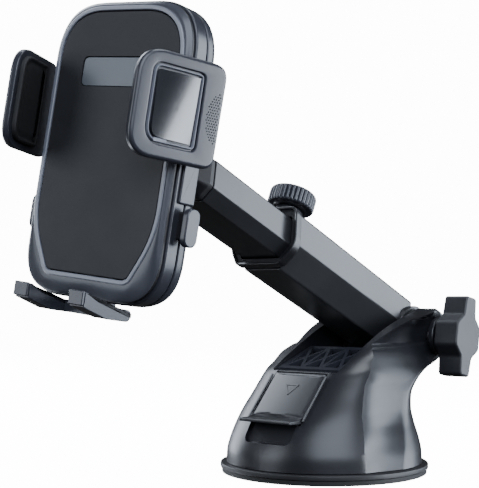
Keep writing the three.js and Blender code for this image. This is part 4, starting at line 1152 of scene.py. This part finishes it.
def area_light(name, towards, distance, width, height, power, colour):
    """A softbox in a direction from the object's middle, facing it."""
    light = bpy.data.lights.new(name, "AREA")
    light.shape, light.size, light.size_y = "RECTANGLE", width, height
    light.energy, light.color = power, colour
    made = bpy.data.objects.new(name, light)
    aim = Vector((0, -0.04, 0.09))
    way = Vector(towards).normalized()
    made.location = aim + way * distance
    made.visible_camera = False
    made.rotation_euler = (-way).to_track_quat("-Z", "Y").to_euler()
    bpy.context.scene.collection.objects.link(made)


def studio():
    """A white backdrop that only the camera sees, softboxes, and a pale floor."""
    world = bpy.data.worlds.new("studio")
    bpy.context.scene.world = world
    world.use_nodes = True
    tree = world.node_tree
    back = tree.nodes["Background"]
    seen = tree.nodes.new("ShaderNodeBackground")
    seen.inputs["Color"].default_value = (1, 1, 1, 1)
    seen.inputs["Strength"].default_value = WHITE_LEVEL
    back.inputs["Color"].default_value = (1.0, 1.0, 1.0, 1)
    back.inputs["Strength"].default_value = FILL_LEVEL
    path = tree.nodes.new("ShaderNodeLightPath")
    mix = tree.nodes.new("ShaderNodeMixShader")
    tree.links.new(path.outputs["Is Camera Ray"], mix.inputs["Fac"])
    tree.links.new(back.outputs["Background"], mix.inputs[1])
    tree.links.new(seen.outputs["Background"], mix.inputs[2])
    tree.links.new(mix.outputs["Shader"], tree.nodes["World Output"].inputs["Surface"])
    for light in LIGHTS:
        area_light(*light)
    floor_mesh = bpy.data.meshes.new("floor")
    reach = 6.0
    corners = [(-reach, -reach, 0), (reach, -reach, 0), (reach, reach, 0), (-reach, reach, 0)]
    floor_mesh.from_pydata(corners, [], [(0, 1, 2, 3)])
    floor = bpy.data.objects.new("floor", floor_mesh)
    bpy.context.scene.collection.objects.link(floor)
    floor.location.z = -0.0001
    pale = bpy.data.materials.new("pale_floor")
    pale.use_nodes = True
    shader = pale.node_tree.nodes["Principled BSDF"]
    shader.inputs["Base Color"].default_value = (0.9, 0.9, 0.9, 1)
    shader.inputs["Roughness"].default_value = 0.9
    shader.inputs["Emission Color"].default_value = (1, 1, 1, 1)
    shader.inputs["Emission Strength"].default_value = WHITE_LEVEL
    floor.data.materials.append(pale)
    floor.visible_glossy = False
    floor.visible_diffuse = False
    floor.visible_shadow = False


def camera():
    """The photograph's view: place and axes fitted to it."""
    made = bpy.data.cameras.new("camera")
    made.sensor_width = 36
    made.lens = 84.97
    holder = bpy.data.objects.new("camera", made)
    bpy.context.scene.collection.objects.link(holder)
    right = Vector((0.74277, 0.66955, -0.00118))
    up = Vector((0.03232, -0.03410, 0.99890))
    turn = Matrix((right, up, right.cross(up))).transposed().to_4x4()
    holder.matrix_world = Matrix.Translation((0.2865, -0.36813, 0.06897)) @ turn
    bpy.context.scene.camera = holder


dome()
rims()
lever()
wing_knob()
arm()
lock_knob()
ball_joint()
cradle()
for jaw_side, jaw_word in SIDES:
    jaw(jaw_side, jaw_word)
foot()
keep_nodes()
studio()
camera()
